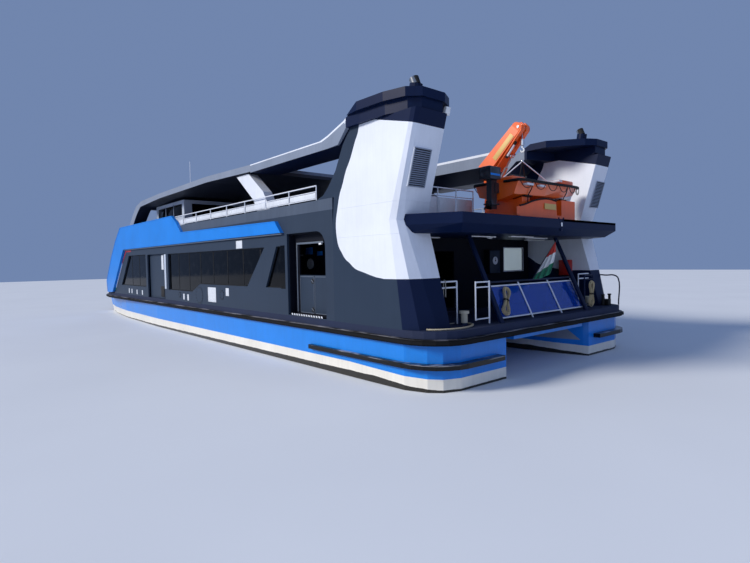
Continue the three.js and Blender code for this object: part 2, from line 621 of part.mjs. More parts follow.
// Pipe gates at each quarter, between the strut and the tower.
const GATE = { hinge: 2600, far: 3180, x: 560, low: DECK_Z + 120, high: 2640 };
function sternGate() {
  const { hinge, far, x, low, high } = GATE;
  return join(
    rod([x, hinge, DECK_Z + 2 * GAP], [x, hinge, high], 24, 8),
    rod([x, far, low], [x, far, high], 20, 6),
    rod([x, hinge, high - 24], [x, far, high - 24], 20, 6),
    rod([x, hinge, low + 24], [x, far, low + 24], 20, 6),
    rod([x, hinge, 2480], [x, far, 2480], 18, 6),
  );
}
for (const side of SIDES) piece(`stern_gate_${side.name}`, onSide(sternGate(), side), WHITE);

// Rescue boat on its cradle, and the crane that lifts it.
const BOAT = { x: 1500, stern: 950, length: 4450, gunwale: 5520, keel: 4960 };
// Columns: distance from the transom, half-beam at the gunwale, half-beam at the chine, keel, chine, gunwale.
const BOAT_SECTIONS = [
  [0, 780, 620, 4960, 5110, 5500],
  [1500, 860, 690, 4950, 5120, 5500],
  [2900, 800, 560, 4960, 5160, 5530],
  [3900, 520, 260, 5050, 5260, 5590],
  [4400, 120, 40, 5250, 5420, 5640],
];
function boatRing(inset) {
  return ([along, beam, chine, keel, chineZ, gunwale]) => {
    const y = BOAT.stern - along;
    return [
      [BOAT.x - beam + inset, y, gunwale + inset],
      [BOAT.x - chine + inset, y, chineZ + inset],
      [BOAT.x, y, keel + inset],
      [BOAT.x + chine - inset, y, chineZ + inset],
      [BOAT.x + beam - inset, y, gunwale + inset],
    ];
  };
}
function rescueBoat() {
  const shell = loft(BOAT_SECTIONS.map(boatRing(0)));
  const well = box(BOAT.x - 560, BOAT.x + 560, BOAT.stern - 2700, BOAT.stern - 180, 5200, 5700);
  return cut(shell, well);
}
piece('rescue_boat', rescueBoat(), ORANGE);

const OUTBOARD = { y: 1160 };
function outboard() {
  const x = BOAT.x;
  const y = BOAT.stern + GAP;
  return join(
    box(x - 210, x + 210, y + 60, y + 560, 5560, 5920),
    box(x - 90, x + 90, y + 90, y + 350, 4700, 5600),
    box(x - 110, x + 110, y, y + 200, 5180, 5480),
    box(x - 150, x + 150, y + 60, y + 420, 4820, 4860),
  );
}
piece('outboard', outboard(), RUBBER);

const PLINTH_TOP = 4560;
function boatCradle() {
  const floor = UPPER_Z + GAP;
  const plinth = box(760, 2940, -2350, 850, floor, PLINTH_TOP);
  const bunks = [box(900, 2100, -1900, -1500, 4500, 5060), box(900, 2100, 100, 500, 4500, 5060)];
  const body = cut(join(plinth, ...bunks, box(760, 2200, -2350, -1500, 4500, 5060)),
    loft(BOAT_SECTIONS.map(boatRing(-GAP - 0.5))));
  return body;
}
piece('boat_cradle', boatCradle(), ORANGE);

// Crane: pedestal on the cradle's base, slewing column, luffing boom, its cylinder, and the hook.
const CRANE = { x: 2650, y: -450, plinth: PLINTH_TOP, pivotZ: 6150, headX: 1500, headZ: 7350 };
const CYLINDER = { footX: 2400, footZ: 5720, along: 800, below: 290, barrel: 65, bore: 34, rod: 30, length: 560,
  rodLength: 600, cheek: 45, cheekOut: 75, eye: 50 };
const BOOM = {
  length: Math.hypot(CRANE.headX - CRANE.x, CRANE.headZ - CRANE.pivotZ),
  angle: Math.atan2(CRANE.headZ - CRANE.pivotZ, CRANE.headX - CRANE.x),
  half: 225,
};
// A point given along the boom from its pivot and above its centreline.
function onBoom(along, above) {
  const c = Math.cos(BOOM.angle);
  const s = Math.sin(BOOM.angle);
  return [CRANE.x + along * c + above * s, CRANE.pivotZ + along * s - above * c];
}
function craneColumn() {
  const { x, y, plinth } = CRANE;
  const { footX, footZ, cheek, cheekOut } = CYLINDER;
  const lug = (side) => box(footX - 60, x - 160, Math.min(y + side * cheek, y + side * cheekOut),
    Math.max(y + side * cheek, y + side * cheekOut), footZ - 90, footZ + 60);
  return join(
    rod([x, y, plinth + GAP], [x, y, plinth + 200], 230, 16),
    box(x - 170, x + 170, y - 205, y + 205, plinth + 100, 5800),
    box(x - 170, x + 200, y - 205, y - 155, 5700, 6300),
    box(x - 170, x + 200, y + 155, y + 205, 5700, 6300),
    lug(1),
    lug(-1),
  );
}
piece('crane_column', craneColumn(), ORANGE);

function craneBoom() {
  const { y } = CRANE;
  const { along, below, cheek, cheekOut } = CYLINDER;
  const { length } = BOOM;
  const side = [[-240, -170], [260, -210], [length, -150], [length + 140, -60], [length + 150, 60], [length, 160],
    [-200, 170]];
  const boxSide = [[300, -204], [length - 20, -156], [length + 116, -62], [length + 126, 58], [length - 30, 172],
    [300, 190]];
  const lugSide = [[along - 90, -150], [along - 50, -below - 40], [along + 50, -below - 40], [along + 90, -150]];
  const slotSide = [[1280, -400], [length + 400, -400], [length + 400, 400], [1280, 400]];
  const blockSide = [[1040, -400], [1440, -400], [1440, -65], [1040, -65]];
  const placed = (points) => points.map(([a, b]) => onBoom(a, b));
  return join(
    cut(join(sidePrism(placed(side), y - 145, y + 145), sidePrism(placed(boxSide), y - BOOM.half, y + BOOM.half)),
      sidePrism(placed(slotSide), y - 50, y + 50), sidePrism(placed(blockSide), y - 72, y + 72)),
    rod([CRANE.x, y - 155 + 2 * GAP, CRANE.pivotZ], [CRANE.x, y + 155 - 2 * GAP, CRANE.pivotZ], 90, 16),
    sidePrism(placed(lugSide), y + cheek, y + cheekOut),
    sidePrism(placed(lugSide), y - cheekOut, y - cheek),
  );
}
piece('crane_boom', craneBoom(), ORANGE);

// The luffing cylinder's two halves, laid out along +X from the foot pin and then turned into place.
const [eyeX, eyeZ] = onBoom(CYLINDER.along, -CYLINDER.below);
const CYLINDER_REACH = Math.hypot(eyeX - CYLINDER.footX, eyeZ - CYLINDER.footZ);
const CYLINDER_TURN = -Math.atan2(eyeZ - CYLINDER.footZ, eyeX - CYLINDER.footX) * 180 / Math.PI;
const asCylinder = (solid) => solid.rotate([0, CYLINDER_TURN, 0]).translate([CYLINDER.footX, CRANE.y, CYLINDER.footZ]);
function pinEye(x) {
  const half = CYLINDER.cheek - 2 * GAP;
  return rod([x, -half, 0], [x, half, 0], CYLINDER.eye, 14);
}
function luffBarrel() {
  const { barrel, bore, length, cheek } = CYLINDER;
  const body = join(rod([110, 0, 0], [length, 0, 0], barrel, 16), rod([10, 0, 0], [130, 0, 0], cheek - 6, 12), pinEye(0));
  return asCylinder(cut(body, rod([68, 0, 0], [length + 50, 0, 0], bore, 16)));
}
function luffRod() {
  const { rod: radius, rodLength } = CYLINDER;
  const reach = CYLINDER_REACH;
  return asCylinder(join(rod([reach - rodLength, 0, 0], [reach, 0, 0], radius, 12),
    pinEye(reach)));
}
piece('luff_barrel', luffBarrel(), STEEL);
piece('luff_rod', luffRod(), STEEL);

// Sheave in the boom's head, the fall, and the hook under it.
const HOOK = { sheave: 95, top: 6990, block: 6800 };
function craneHook() {
  const { headX, headZ, y } = CRANE;
  const { sheave, top, block } = HOOK;
  const jaw = [[-20, block + 30], [-20, block - 60], [-75, block - 110], [-85, block - 170], [-50, block - 220],
    [10, block - 230], [65, block - 190], [75, block - 130], [45, block - 130], [40, block - 170], [5, block - 190],
    [-35, block - 175], [-50, block - 145], [-35, block - 110], [20, block - 60], [20, block + 30]];
  return join(
    rod([headX, y - 50 + 2 * GAP, headZ], [headX, y + 50 - 2 * GAP, headZ], sheave, 18),
    rod([headX, y, headZ], [headX, y, top - 20], 16, 8),
    rod([headX, y, block], [headX, y, top], 60, 12),
    sidePrism(jaw.map(([a, z]) => [headX + a, z]), y - 18, y + 18),
  );
}
piece('crane_hook', craneHook(), STEEL);

// Bow rail round the fore deck, and the whip aerial on the roof.
const BOW_RAIL = { inset: 140, from: 29900, heights: [2150, 2560], radius: 24 };
function bowRail() {
  const line = deckOutline(-BOW_RAIL.inset).filter(([x]) => x > BOW_RAIL.from);
  let solid = null;
  for (const z of BOW_RAIL.heights) {
    for (let i = 0; i + 1 < line.length; i++) {
      const bar = rod([...line[i], z], [...line[i + 1], z], BOW_RAIL.radius, 6);
      solid = solid ? solid.add(bar) : bar;
    }
  }
  for (const [x, y] of line) {
    solid = solid.add(rod([x, y, DECK_Z + GAP], [x, y, BOW_RAIL.heights[1]], BOW_RAIL.radius, 6));
  }
  return solid;
}
piece('bow_rail', bowRail(), WHITE);

const WHIP = { x: 16600, y: 4400, foot: 6862.7, top: 8150 };
function mast() {
  const { x, y, foot, top } = WHIP;
  return join(
    box(x - 60, x + 60, y - 60, y + 60, foot + GAP, foot + 60),
    rod([x, y, foot + 40], [x, y, foot + 260], 28, 8),
    rod([x, y, foot + 240], [x, y, top], 14, 6),
  );
}
piece('mast', mast(), WHITE);

// Soft gear: hanks of rope hung on the stern rails, a rope over a quarter rail, a mooring line, and the ensign.
const HANK = { thickness: 140, round: 8 };
// A long round-ended ring with its top and bottom given, its thickness laid along the outward normal.
function hank(top, bottom, width, strand, across) {
  const up = new THREE.Vector3(...top).sub(new THREE.Vector3(...bottom));
  const length = up.length();
  const ring = (inset) => {
    const r = width / 2 - inset;
    const end = length / 2 - width / 2;
    const points = [];
    for (const [centre, start] of [[end, 0], [-end, Math.PI]]) {
      for (let i = 0; i <= HANK.round; i++) {
        const angle = start + Math.PI * i / HANK.round;
        points.push([r * Math.cos(angle), centre + r * Math.sin(angle)]);
      }
    }
    return points;
  };
  const flat = planPrism(ring(0), -HANK.thickness / 2, HANK.thickness / 2, [ring(strand)]);
  const yAxis = up.normalize();
  const side = new THREE.Vector3(...across);
  const zAxis = new THREE.Vector3().crossVectors(side, yAxis).normalize();
  const xAxis = new THREE.Vector3().crossVectors(yAxis, zAxis);
  const middle = top.map((value, i) => (value + bottom[i]) / 2);
  return flat.transform([...xAxis, 0, ...yAxis, 0, ...zAxis, 0, ...middle, 1]);
}
piece('hank_port', hank([878, 1350, 2400], [510.5, 1900, 1665], 240, 85, [0, 1, 0]), ROPE);
piece('hank_starboard', hank([472.2, -2930, 2450], [472.2, -2930, 1545], 340, 110, [0, 1, 0]), ROPE);

const cordSides = 12;
const ROPE_R = 14;
const ROPE_Z = DECK_Z + ROPE_R + 2 * GAP;
piece('rail_rope', tube([
  [1190, 3300, ROPE_Z],
  [1182, 3480, ROPE_Z + 0.6],
  [1174, 3600, ROPE_Z + 5],
  [1170, 3675, ROPE_Z + 22],
  [1167, 3712, ROPE_Z + 60],
  [1165, 3726, ROPE_Z + 160],
  [1164, 3734, 2000],
  [1162, 3742, 2580],
  [1150, 3745, 2672],
  [1115, 3750, 2690],
  [1082, 3756, 2660],
  [1074, 3760, 2580],
  [1070, 3765, 2250],
], ROPE_R, cordSides, 60), ROPE);

const LINE_R = 24;
const lineZ = DECK_Z + LINE_R + GAP;
piece('mooring_line', tube([
  [1010, 3240, lineZ],
  [900, 3170, lineZ],
  [740, 3160, lineZ],
  [560, 3290, lineZ],
  [390, 3620, lineZ],
  [330, 4050, lineZ],
  [430, 4420, lineZ],
  [590, 4660, lineZ],
  [780, 4810, lineZ],
], LINE_R, cordSides, 70), CLOTH);

const FLAG = { y: -170, thickness: 6 };
const FLAG_OUTLINE = [[190, 3690], [980, 2560], [860, 2480], [560, 2600], [330, 2760], [240, 3050], [185, 3400]];
const flagY = FLAG.y + STAFF.radius + GAP;
piece('flag', sidePrism(FLAG_OUTLINE, flagY, flagY + FLAG.thickness), CLOTH);

export default ship;
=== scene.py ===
import math

import bmesh
import bpy
from bpy.props import FloatProperty, FloatVectorProperty, IntProperty, PointerProperty
from mathutils import Matrix, Vector


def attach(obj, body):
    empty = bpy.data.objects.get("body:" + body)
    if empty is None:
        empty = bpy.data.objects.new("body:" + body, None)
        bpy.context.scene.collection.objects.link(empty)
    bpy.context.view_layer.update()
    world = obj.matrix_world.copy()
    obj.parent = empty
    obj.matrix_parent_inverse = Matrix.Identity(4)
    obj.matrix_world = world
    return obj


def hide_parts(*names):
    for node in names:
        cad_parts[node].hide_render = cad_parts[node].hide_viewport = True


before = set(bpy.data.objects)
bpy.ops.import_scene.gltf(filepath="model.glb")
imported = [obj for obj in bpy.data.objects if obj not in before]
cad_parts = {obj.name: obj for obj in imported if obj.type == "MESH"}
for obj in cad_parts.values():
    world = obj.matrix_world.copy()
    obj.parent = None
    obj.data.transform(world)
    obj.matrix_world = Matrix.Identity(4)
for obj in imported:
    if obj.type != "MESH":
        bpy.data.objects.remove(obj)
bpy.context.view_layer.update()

bl_info = {
    "name": "Passenger Ferry",
    "version": (1, 0, 0),
    "blender": (4, 5, 0),
    "location": "3D View > Sidebar > Ferry",
    "description": "Finishes, trim, deck gear and ropes of a twin-hulled passenger ferry",
    "category": "Object",
}

STERN = -17.45                      # the row's x of the deck fender's aftmost point
SIDES = (("port", 1), ("starboard", -1))
# The faces that fittings sit on: metres from the centreline, and above the water.
WALL_Y, FASCIA_Y, PANE_Y, GATE_Y, LINING_Y = 5.1, 5.22, 5.02, 4.82, 3.66
DECK_Z, PLATFORM_Z = 1.5, 4.38


def linear(code):
    """An sRGB hex colour as linear red, green and blue."""
    parts = [int(code[i:i + 2], 16) / 255 for i in (0, 2, 4)]
    return tuple(c / 12.92 if c <= 0.04045 else ((c + 0.055) / 1.055) ** 2.4 for c in parts)


def at(station, across, height):
    """A point by metres forward of the stern, to port of the centreline and above the water."""
    return Vector((STERN + station, across, height))


def colour(name, code, description):
    return FloatVectorProperty(name=name, description=description, subtype="COLOR", size=3, min=0, max=1,
                               default=linear(code))


def length(name, value, description):
    return FloatProperty(name=name, description=description, subtype="DISTANCE", unit="LENGTH", default=value,
                         min=0)


class FerryColours(bpy.types.PropertyGroup):
    hull: colour("Topsides", "1a7edb", "Gloss enamel of the hulls, the fascia and the visor")
    boot: colour("Boot stripe", "e2dfd6", "Stripe just above the water")
    bottom: colour("Bottom", "2f2d29", "Paint under the boot stripe")
    slate: colour("House side", "2a3749", "Satin paint of the side walls")
    navy: colour("Navy", "0b1a3a", "Platform, caps and tower feet")
    white: colour("White", "dbe1ec", "Towers, rails and arch")
    pale: colour("Pale grey", "7d889b", "Roof, beams and louvres")
    deck: colour("Deck", "1c2743", "Non-slip deck paint")
    orange: colour("Orange", "f2641a", "Rescue boat, cradle and crane")
    glass: colour("Window tint", "030406", "Bonded panes")
    screen: colour("Screen tint", "2a78ff", "Glass of the stern screen")
    manila: colour("Rope", "d9c8a0", "Laid rope of the hanks")
    cream: colour("Mooring line", "d8cfb6", "Braided line on the bollard")


class FerrySizes(bpy.types.PropertyGroup):
    floor: length("Floor", 240.0, "Side of the studio floor")
    moulding: length("Fascia moulding", 0.035, "Width of the bevelled moulding round the fascia")
    slats: IntProperty(name="Louvre slats", description="Slats in each tower's louvre", default=17, min=4,
                       max=40)


def add(tree, kind, inputs=(), stops=(), ramp="LINEAR", **settings):
    """Adds a shader node with its settings; inputs gives each socket a value or the output that feeds it."""
    made = tree.nodes.new("ShaderNode" + kind)
    for name, value in settings.items():
        setattr(made, name, value)
    for index, (place, shade) in enumerate(stops):
        steps = made.color_ramp.elements
        stop = steps[index] if index < 2 else steps.new(place)
        stop.position, stop.color = place, (*shade, 1)
        made.color_ramp.interpolation = ramp
    for socket, value in dict(inputs).items():
        if isinstance(value, bpy.types.NodeSocket):
            tree.links.new(value, made.inputs[socket])
        else:
            made.inputs[socket].default_value = value
    return made.outputs


def feed(shader, **values):
    """Gives the shader's own sockets their constants, or the outputs that feed them."""
    for name, value in values.items():
        socket = shader.inputs[name.replace("_", " ")]
        if isinstance(value, bpy.types.NodeSocket):
            shader.id_data.links.new(value, socket)
        else:
            socket.default_value = value


def principled(name):
    """A new material, its tree, its shader and the place on the object."""
    made = bpy.data.materials.new(name)
    made.use_nodes = True
    tree = made.node_tree
    return made, tree, tree.nodes["Principled BSDF"], add(tree, "TexCoord")["Object"]


def mixed(tree, factor, first, second, blend="MIX"):
    """One colour over another, where factor is 1."""
    pair = [shade if isinstance(shade, bpy.types.NodeSocket) else (*shade, 1) for shade in (first, second)]
    return add(tree, "Mix", {0: factor, 6: pair[0], 7: pair[1]}, data_type="RGBA", blend_type=blend)[2]


def calc(operation, first, second=0.0):
    """A sum or comparison of two values, at least one of them an output."""
    tree = (first if isinstance(first, bpy.types.NodeSocket) else second).id_data
    return add(tree, "Math", {0: first, 1: second}, operation=operation)[0]


def over(value, limit):
    return calc("GREATER_THAN", value, limit)


def under(value, limit):
    return calc("LESS_THAN", value, limit)


def both(first, *others):
    """1 where all of the given masks are 1."""
    for other in others:
        first = calc("MULTIPLY", first, other)
    return first


def noise(tree, place, scale, detail=2.0, roughness=0.5):
    settings = {"Vector": place, "Scale": scale, "Detail": detail, "Roughness": roughness}
    return add(tree, "TexNoise", settings)[0]


def ranged(tree, value, low, high, start=0.0, end=1.0):
    """A value's span from low to high, spread over start to end."""
    return add(tree, "MapRange", {"Value": value, "From Min": low, "From Max": high, "To Min": start,
                                  "To Max": end})[0]


def bump(tree, strength, depth, height, base=None):
    """Relief of a depth in metres, on top of the relief given as base."""
    below = {} if base is None else {"Normal": base}
    return add(tree, "Bump", {"Strength": strength, "Distance": depth, "Height": height, **below})[0]


def shaded(tree, base, light):
    """A colour with its light scaled by a value."""
    grey = add(tree, "CombineColor", {0: light, 1: light, 2: light})[0]
    return mixed(tree, 1.0, base, grey, "MULTIPLY")


def stretched(tree, place, scale):
    return add(tree, "Mapping", {"Vector": place, "Scale": scale})[0]


def parts(tree, place):
    """A place as metres from the stern, from the centreline to either side, and above the water."""
    x, y, z = add(tree, "SeparateXYZ", {0: place})[:3]
    return calc("SUBTRACT", x, STERN), calc("ABSOLUTE", y), z


def coated(name, shade, roughness, coat=0.0, mottle=0.07, runs=0.06, waves=1.2, grit=0.0, grit_size=4.0,
           metallic=0.0, sheen=0.5):
    """A painted or moulded surface: shade is a colour, or a function that builds one from the place.

    mottle and runs are the shares of light that patches and rain streaks take; waves is the plate's
    unevenness and grit the paint's grain, both in millimetres deep; grit_size is the grain's width."""
    made, tree, shader, place = principled(name)
    base = shade(tree, place) if callable(shade) else shade
    broad = noise(tree, place, 0.9, 4.0, 0.6)
    patch = ranged(tree, broad, 0.3, 0.7, 1 - mottle, 1 + mottle)
    rain = noise(tree, stretched(tree, place, (7.0, 7.0, 0.45)), 1.6, 3.0)
    streak = ranged(tree, rain, 0.45, 0.75, 1.0, 1 - runs)
    relief = bump(tree, 0.5, waves / 1000, noise(tree, place, 1.7, 1.0))
    if grit:
        relief = bump(tree, 0.6, grit / 1000, noise(tree, place, 1000 / grit_size), relief)
    feed(shader, Base_Color=shaded(tree, base, calc("MULTIPLY", patch, streak)),
         Roughness=ranged(tree, broad, 0.0, 1.0, roughness - 0.08, roughness + 0.1), Normal=relief,
         Coat_Weight=coat, Coat_Roughness=0.08, Metallic=metallic, Specular_IOR_Level=sheen)
    return made


def tinted(name, shade, clear, sheen=0.5, dusty=0.12, painted_glow=0.0):
    """Toughened glass tinted through its thickness, with the faint film that spray leaves on it.

    dusty is the share of dust where the film is thickest, and glow is painted light: an emission for the
    daylight that comes through."""
    made, tree, shader, place = principled(name)
    film = noise(tree, place, 3.0, 5.0, 0.7)
    dust = ranged(tree, film, 0.5, 0.9, 0.0, dusty)
    feed(shader, Base_Color=mixed(tree, dust, shade, linear("a9b4c0")),
         Roughness=ranged(tree, film, 0.4, 0.8, 0.03, 0.15), Transmission_Weight=clear, IOR=1.45,
         Specular_IOR_Level=sheen, Emission_Color=(*shade, 1), Emission_Strength=painted_glow)
    return made


def laid_rope(name, shade, pitch, strands, size):
    """Laid or braided rope, patterned along its own UV map: metres along by turns round."""
    made, tree, shader, place = principled(name)
    along, turn = add(tree, "SeparateXYZ", {0: add(tree, "UVMap", uv_map="rope")[0]})[:2]
    lay = calc("ADD", calc("DIVIDE", along, pitch), turn)
    wave = calc("SINE", calc("MULTIPLY", lay, 2 * math.pi * strands))
    fibre = noise(tree, place, 160.0, 3.0)
    # The grooves between the strands are darker: painted shade, times the fibre's own tone.
    light = calc("MULTIPLY", ranged(tree, wave, -1.0, -0.1, 0.45), ranged(tree, fibre, 0.0, 1.0, 0.75, 1.2))
    twist = bump(tree, 0.9, size * 0.12, wave)
    feed(shader, Base_Color=shaded(tree, shade, light), Normal=bump(tree, 0.4, 0.001, fibre, twist),
         Roughness=0.9)
    return made


def bunting(name):
    """Woven cloth in three stripes that run along the fly, on its own UV map."""
    made, tree, shader, place = principled(name)
    along, across = add(tree, "SeparateXYZ", {0: add(tree, "UVMap", uv_map="cloth")[0]})[:2]
    stripes = add(tree, "ValToRGB", {0: across}, ramp="CONSTANT",
                  stops=((0.0, linear("c2382c")), (0.3333, linear("dfe2e2")), (0.6667, linear("1f7a5a"))))[0]
    weave = calc("MULTIPLY", calc("SINE", calc("MULTIPLY", along, 1500.0)),
                 calc("SINE", calc("MULTIPLY", across, 1000.0)))
    soil = ranged(tree, noise(tree, place, 9.0, 3.0), 0.0, 1.0, 0.82, 1.1)
    feed(shader, Base_Color=shaded(tree, stripes, soil), Normal=bump(tree, 0.3, 0.0004, weave),
         Roughness=0.85, Sheen_Weight=0.3)
    return made


def paper(name):
    """Matt studio paper, very slightly clouded."""
    made, tree, shader, place = principled(name)
    feed(shader, Roughness=0.9,
         Base_Color=add(tree, "ValToRGB", {"Fac": noise(tree, place, 0.2)},
                        stops=((0.0, linear("d3d8df")), (1.0, linear("dde2e8"))))[0])
    return made


def painted_glints(tree, place, scale, detail, low, most):
    """Long pale streaks of painted highlight: noise drawn out along the ship."""
    return ranged(tree, noise(tree, stretched(tree, place, scale), 4.0, detail, 0.65), low, 0.6, 0.0, most)


def hull_bands(tree, place):
    """Blue topsides, white boot stripe and dark bottom by height, with a pale patch on the tunnel's sides."""
    tone = bpy.context.scene.ferry_colours
    station, side, z = parts(tree, place)
    sheer = ranged(tree, station, 0.0, 3.5, 0.31, 0.42)
    bands = mixed(tree, over(z, sheer), tone.boot, tone.hull)
    # The bottom colour reaches up to a low, uneven line that rises over the first two metres from the stern
    # and sinks slowly forward.
    bottom_rise = calc("ADD", ranged(tree, station, 0.2, 2.2, 0.03, 0.17),
                  calc("MULTIPLY", noise(tree, place, 2.5, 4.0), 0.05))
    bottom_line = calc("SUBTRACT", bottom_rise, calc("MULTIPLY", station, 0.0055))
    bands = mixed(tree, under(z, bottom_line), bands, tone.bottom)
    ahead = over(calc("SUBTRACT", station, calc("MULTIPLY", z, 1.26)), -0.125)
    patch = both(under(side, 2.34), ahead, under(z, 1.0), over(z, 0.5))
    bands = mixed(tree, patch, bands, linear("8d949f"))
    strake = both(under(calc("ABSOLUTE", calc("SUBTRACT", z, 0.64)), 0.067), under(station, 5.402),
                  over(side, 2.61))
    # Pale streaks along the strake's top edge: painted highlight where the edge catches the light.
    painted_glint = both(painted_glints(tree, place, (0.22, 0.22, 5.0), 4.0, 0.5, 0.75), over(z, 0.675))
    return mixed(tree, strake, bands, mixed(tree, painted_glint, linear("06070a"), linear("9ea0ab")))


# The height and station of points on the edge of the tower's white wrap.
TOWER_EDGE = ((2.70, 1.7), (2.79, 2.25), (2.97, 3.01), (3.23, 3.49), (3.56, 3.82), (4.02, 3.98), (4.61, 3.93),
              (5.25, 3.71), (5.86, 3.38), (6.51, 3.01), (6.99, 2.83))


def tower_wrap(tree, place):
    """White wrapped round the tower's aft side, slate ahead of it, navy on the foot and the collar."""
    tone = bpy.context.scene.ferry_colours
    station, side, z = parts(tree, place)
    edge = add(tree, "ValToRGB", {0: ranged(tree, z, 2.6, 7.0)}, ramp="CARDINAL",
               stops=[((h - 2.6) / 4.4, (s / 5,) * 3) for h, s in TOWER_EDGE])[0]
    aft = under(station, calc("MULTIPLY", edge, 5.0))
    collar = over(z, calc("ADD", calc("MULTIPLY", station, 0.26), 6.27))
    below = calc("SUBTRACT", 1.0, collar)
    rails = under(side, 3.985)
    white = calc("MAXIMUM", both(aft, over(z, 2.755), below), rails)
    flank = both(over(side, 5.094), below)
    return mixed(tree, white, mixed(tree, flank, tone.navy, tone.slate), tone.white)


def beam_bands(tree, place):
    """Navy caps and undersides, with the roof's grey running aft along the sides under a white edge that is a
    painted highlight.
    """
    tone = bpy.context.scene.ferry_colours
    station, side, z = parts(tree, place)
    flank = both(over(station, 3.3), over(side, 5.09))
    girder = both(under(side, 2.81), over(station, 2.95))
    crest = calc("MAXIMUM", calc("SUBTRACT", 7.79, calc("MULTIPLY", station, 0.2308)), 6.725)
    grey = mixed(tree, calc("MAXIMUM", flank, girder), tone.navy, tone.pale)
    # The white band along the top edges stands in for their lit upper lip: painted highlight.
    edge = calc("MAXIMUM", both(flank, over(z, crest)), both(girder, over(z, 7.29)))
    return mixed(tree, edge, grey, tone.white)


# The station and height of points on the line between the roof's grey crown and its dark underside.
ROOF_MIDDLE = ((9.1, 6.64), (13.0, 6.76), (19.0, 6.73), (22.1, 6.62), (22.85, 6.4), (23.5, 6.0), (24.9, 5.1))


def roof_bands(tree, place):
    """Grey roof, dark underneath, on white arch legs."""
    tone = bpy.context.scene.ferry_colours
    station, side, z = parts(tree, place)
    middle = add(tree, "ValToRGB", {0: ranged(tree, station, 9.0, 25.0)},
                 stops=[((s - 9.0) / 16.0, (h / 8,) * 3) for s, h in ROOF_MIDDLE])[0]
    above = over(z, calc("MULTIPLY", middle, 8.0))
    grey = mixed(tree, calc("MAXIMUM", above, over(side, 5.09)), linear("151c2e"), tone.pale)
    leg = both(under(station, 10.6), under(z, 6.5), under(side, 5.05))
    return mixed(tree, leg, grey, tone.white)


def deck_bands(tree, place):
    """Grey non-slip deck, with the bollards that stand on it in cream."""
    tone = bpy.context.scene.ferry_colours
    station, _, z = parts(tree, place)
    return mixed(tree, both(over(z, 1.56), under(station, 2.5)), tone.deck, linear("b9b4a2"))


def rubber_painted_highlight(tree, place):
    """Black rubber with a painted highlight: pale streaks along its upper edges where the light catches them.
    """
    edge = ranged(tree, add(tree, "SeparateXYZ", {0: place})[2], 1.285, 1.30)
    painted_glint = both(edge, painted_glints(tree, place, (0.2, 0.2, 6.0), 5.0, 0.42, 0.8))
    return mixed(tree, painted_glint, linear("07080b"), linear("8d8e99"))


def stern_rail_bands(tree, place):
    """White balustrade under a dark hand rail."""
    tone = bpy.context.scene.ferry_colours
    return mixed(tree, over(add(tree, "SeparateXYZ", {0: place})[2], 2.525), tone.white, tone.navy)


def boat_bands(tree, place):
    """Orange gelcoat, white under the chine towards the bow."""
    tone = bpy.context.scene.ferry_colours
    y, z = add(tree, "SeparateXYZ", {0: place})[1:3]
    low = under(z, calc("SUBTRACT", 4.93, calc("MULTIPLY", y, 0.14)))
    return mixed(tree, low, tone.orange, tone.white)


